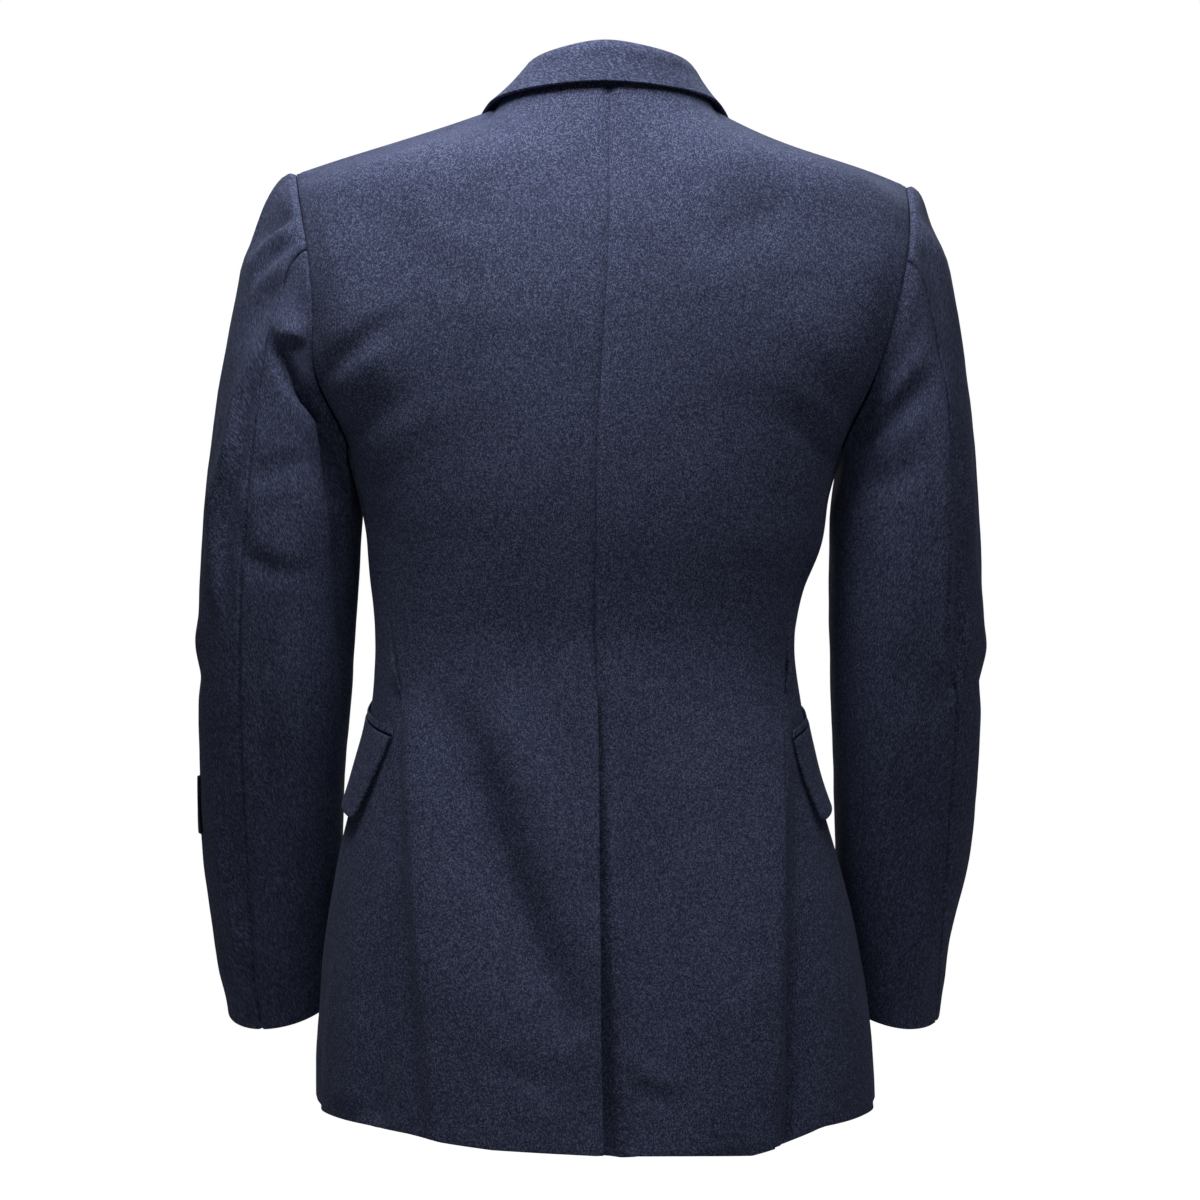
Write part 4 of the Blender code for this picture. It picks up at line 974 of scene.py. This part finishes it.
def giltMaterial():
    material, tree, shader = newMaterial("gilt")
    place = node(tree, "ShaderNodeTexCoord")
    worn = noiseAt(tree, place.outputs["Object"], gilt["grain"], 3.0)
    colour = mixed(tree, spreadOut(tree, worn, 0.45, 0.7), gilt["colour"], gilt["worn"])
    tree.links.new(colour, shader.inputs["Base Color"])
    rough = math2(tree, "ADD", math2(tree, "MULTIPLY", worn, gilt["rougher"]), gilt["roughness"])
    tree.links.new(rough, shader.inputs["Roughness"])
    shader.inputs["Metallic"].default_value = 1.0
    return material


finishes = {"wool": woolMaterial("wool", wool), "patch": woolMaterial("bareWool", bareWool),
            "brass": giltMaterial()}

# The vent: the row where it opens, how far the left lap stands off, and how the right one sinks
# behind it, at the top and at the hem. The under lap reaches on behind the left one.
vent = {"top": 5.0, "close": 0.12, "stand": 5.0, "standWidth": 14, "standRise": 0.7, "sink": (3.5, 17),
        "sinkWidth": (4.5, 14), "sinkRise": 0.8, "under": 34, "underStart": 1.5, "underLength": 310}


def makeBack():
    first, second = backs[left], backs[right]
    openBelow = 1 - softStep((rowPlaces - vent["top"]) / vent["close"])[:, None]
    across = runs(first["points"], 1)
    lower = np.clip((vent["top"] - rowPlaces) / vent["top"], 0, 1)[:, None]
    stand = vent["stand"] * lower ** vent["standRise"] * np.exp(-(across / vent["standWidth"]) ** 2)
    shaped = pressed(lifted(first, stand), start=1 - openBelow, end=cloth["seamHalf"])
    sew("back_left", shaped)
    (nearDepth, farDepth), (nearWidth, farWidth) = vent["sink"], vent["sinkWidth"]
    depth = nearDepth + (farDepth - nearDepth) * lower ** vent["sinkRise"]
    wide = nearWidth + (farWidth - nearWidth) * lower
    sink = depth * openBelow * np.exp(-(runs(second["points"], 1) / wide) ** 4)
    shaped = pressed(lifted(second, -sink), start=1 - openBelow, end=cloth["seamHalf"])
    under = lifted(first, -depth + 0 * across)
    taken = np.nonzero((across[0] > vent["underStart"]) & (across[0] < vent["under"]))[0][::-1]
    extra = {key: under[key][:, taken].copy() for key in ("points", "outward", "uv")}
    extra["points"][rowPlaces > vent["top"]] = np.nan
    extra["uv"][..., 0] *= -1
    whole = {key: np.concatenate([extra[key], shaped[key]], axis=1) for key in extra}
    whole["flip"] = second["flip"]
    sew("back_right", whole)


def makeFronts():
    for side in (left, right):
        front = fronts[side]
        shaped = pressed(front, start=0.0, end=cloth["seamHalf"])
        if side == right:
            x, z = front["points"][..., 0], front["points"][..., 2]
            past = x - frontEdgeX(z, left) + closing["lapClear"]
            past[z > closing["lapTop"]] = -closing["lapStep"]
            depth = softStep(past / closing["lapStep"] + 1)
            shaped = lifted(shaped, -(cloth["wall"] + closing["lapGap"]) * depth)
        node = f"front_{sideName[side]}"
        sew(node, shaped)
        turned = lapelSheet(front, side)
        sew(f"lapel_{sideName[side]}", turned)


def makeSleeves():
    for side in (left, right):
        sleeve = sleeves[side]
        last, seam = sleeve["points"].shape[1], sleeve["frontSeam"]
        for part, taken in (("under", slice(0, seam + 1)), ("top", slice(seam, last))):
            upside = {key: sleeve[key][::-1, taken] for key in ("points", "outward", "uv")}
            upside["flip"] = not sleeve["flip"]
            sew(f"sleeve_{part}_{sideName[side]}", pressed(upside, top=cloth["seamHalf"]))


def makeDetails():
    for side in (left, right):
        name, panel, back = sideName[side], sides[side], backs[side]
        rows = len(panel["points"])
        sew(f"side_{name}", pressed(panel, start=0.6, end=0.6))
        turned = {key: fronts[side][key][:rows, -2::-1] for key in ("points", "outward")}
        around = beside(panel, turned, panel["flip"])
        sheet = flapSheet(side, around)
        sew(f"flap_{name}", sheet)
        sew(f"welt_{name}", weltSheet(side, around), wall=welt["wall"], rim=welt["rim"])
        upper = {key: back[key][:rows] for key in ("points", "outward")}
        rest = {key: panel[key][:, 1:] for key in ("points", "outward")}
        strip = loopSheet(side, beside(upper, rest, back["flip"]), upper["points"].shape[1] - 1)
        sew(f"belt_loop_{name}", strip, wall=loop["wall"], rim=loop["rim"])
    sheet = patchSheet(sleeves[left])
    sew("sleeve_patch", sheet, "patch", patch["wall"],
        patch["rim"])
    sheet = collarSheet()
    sew("collar", sheet)


# The buttons; the profile has the steps in height and radius from the shank to the dome.
button = {"radius": 9.9, "top": -300, "step": 72, "count": 4, "gap": 0.4, "round": 0.15,
          "profile": ((0.5, 1.1), (0.7, 0.0), (0.6, -0.5), (-0.2, -1.0), (-0.5, -0.3), (0.9, -1.2),
                      (0.8, -1.8), (0.6, -2.2), (0.3, -2.2))}


def makeButton(number, place, aim):
    bpy.ops.object.select_all(action="DESELECT")
    radius = button["radius"]
    bpy.ops.mesh.primitive_circle_add(vertices=40, radius=radius * mm, fill_type="NGON")
    piece = bpy.context.object
    piece.name = f"button_{number}_gilt"
    bpy.ops.object.mode_set(mode="EDIT")
    bpy.ops.mesh.select_all(action="SELECT")
    for rise, grow in button["profile"]:
        bpy.ops.mesh.extrude_region_move(TRANSFORM_OT_translate={"value": (0, 0, rise * mm)})
        bpy.ops.transform.resize(value=((radius + grow) / radius,) * 2 + (1,))
        radius += grow
    bpy.ops.mesh.select_all(action="SELECT")
    bpy.ops.mesh.normals_make_consistent(inside=False)
    bpy.ops.object.mode_set(mode="OBJECT")
    bevel = piece.modifiers.new("soft", "BEVEL")
    bevel.width, bevel.segments, bevel.limit_method = button["round"] * mm, 2, "ANGLE"
    bpy.ops.object.modifier_apply(modifier="soft")
    piece.rotation_euler = aim.to_track_quat("Z", "Y").to_euler()
    piece.location = place * mm
    bpy.ops.object.transform_apply(location=True, rotation=True, scale=True)
    bpy.ops.object.shade_smooth_by_angle(angle=math.radians(40))
    piece.data.materials.append(finishes["brass"])
    trim(piece, f"button_{number}")


def makeButtons():
    for number in range(button["count"]):
        z = button["top"] - button["step"] * number
        line, aim = acrossAt(fronts[left], z)
        order = np.argsort(line[:, 0])
        seat, normal = (Vector([np.interp(0, line[order, 0], values[order, axis]) for axis in range(3)])
                        for values in (line, aim))
        normal.normalize()
        makeButton(number + 1, seat + normal * button["gap"], normal)


makeBack()
makeFronts()
makeSleeves()
makeDetails()
makeButtons()
print("pieces made")

# The floor, the lights and the camera. The floor looks white and lights nothing.
ground = {"size": 14, "height": -1.3, "colour": (0.9, 0.9, 0.9, 1), "roughness": 0.9, "glow": 0.99}
bpy.ops.mesh.primitive_plane_add(size=ground["size"], location=(0, 0, ground["height"]))
floor = bpy.context.object
floor.name = "floor"
pale, tree, shader = newMaterial("paleFloor")
shader.inputs["Base Color"].default_value = ground["colour"]
shader.inputs["Roughness"].default_value = ground["roughness"]
shader.inputs["Emission Color"].default_value = (1, 1, 1, 1)
seen = node(tree, "ShaderNodeLightPath")
glow = math2(tree, "MULTIPLY", seen.outputs["Is Camera Ray"], ground["glow"])
tree.links.new(glow, shader.inputs["Emission Strength"])
floor.data.materials.append(pale)

# Each lamp: its place, what it points at, its width and its power.
studio = {"sky": 0.012, "backdrop": 1.0, "lens": 95.82, "sensor": 36, "far": 50,
          "camera": (0.0014, 2.3, -0.3664), "turn": (90, 0, 180),
          "lamps": (("key", (0.12, 0.30, 0.45), (0, 0.05, -0.3), 0.45, 4.8),
                    ("leftFill", (0.5, 0.5, 0.7), (0, 0.05, -0.3), 0.45, 1.1),
                    ("rightFill", (-0.5, 0.5, 0.7), (0, 0.05, -0.3), 0.45, 2.5),
                    ("lowFill", (0.1, 2.0, -1.0), (0, 0.05, -0.3), 0.9, 1.35),
                    ("frontKey", (-0.35, -0.85, 1.1), (0, 0, -0.3), 0.9, 7.5),
                    ("frontFill", (0.3, -2.2, -0.1), (0, 0, -0.4), 0.9, 4.5))}
world = bpy.data.worlds.new("studio")
bpy.context.scene.world = world
world.use_nodes = True
tree = world.node_tree
backdrop = tree.nodes["Background"]
backdrop.inputs["Color"].default_value = (1, 1, 1, 1)
seen = node(tree, "ShaderNodeLightPath")
strength = math2(tree, "ADD", math2(tree, "MULTIPLY", seen.outputs["Is Camera Ray"],
                                    studio["backdrop"] - studio["sky"]), studio["sky"])
tree.links.new(strength, backdrop.inputs["Strength"])
for name, place, aimAt, size, power in studio["lamps"]:
    lamp = bpy.data.lights.new(name, "AREA")
    lamp.shape, lamp.size, lamp.energy = "DISK", size, power
    held = bpy.data.objects.new(name, lamp)
    bpy.context.collection.objects.link(held)
    held.location = place
    held.rotation_euler = (Vector(aimAt) - Vector(place)).to_track_quat("-Z", "Y").to_euler()
    held.visible_camera = False

lens = bpy.data.cameras.new("camera")
lens.lens, lens.sensor_width, lens.clip_end = studio["lens"], studio["sensor"], studio["far"]
camera = bpy.data.objects.new("camera", lens)
bpy.context.collection.objects.link(camera)
camera.location = studio["camera"]
camera.rotation_euler = [math.radians(angle) for angle in studio["turn"]]
bpy.context.scene.camera = camera
bpy.context.scene.view_settings.view_transform = "Standard"
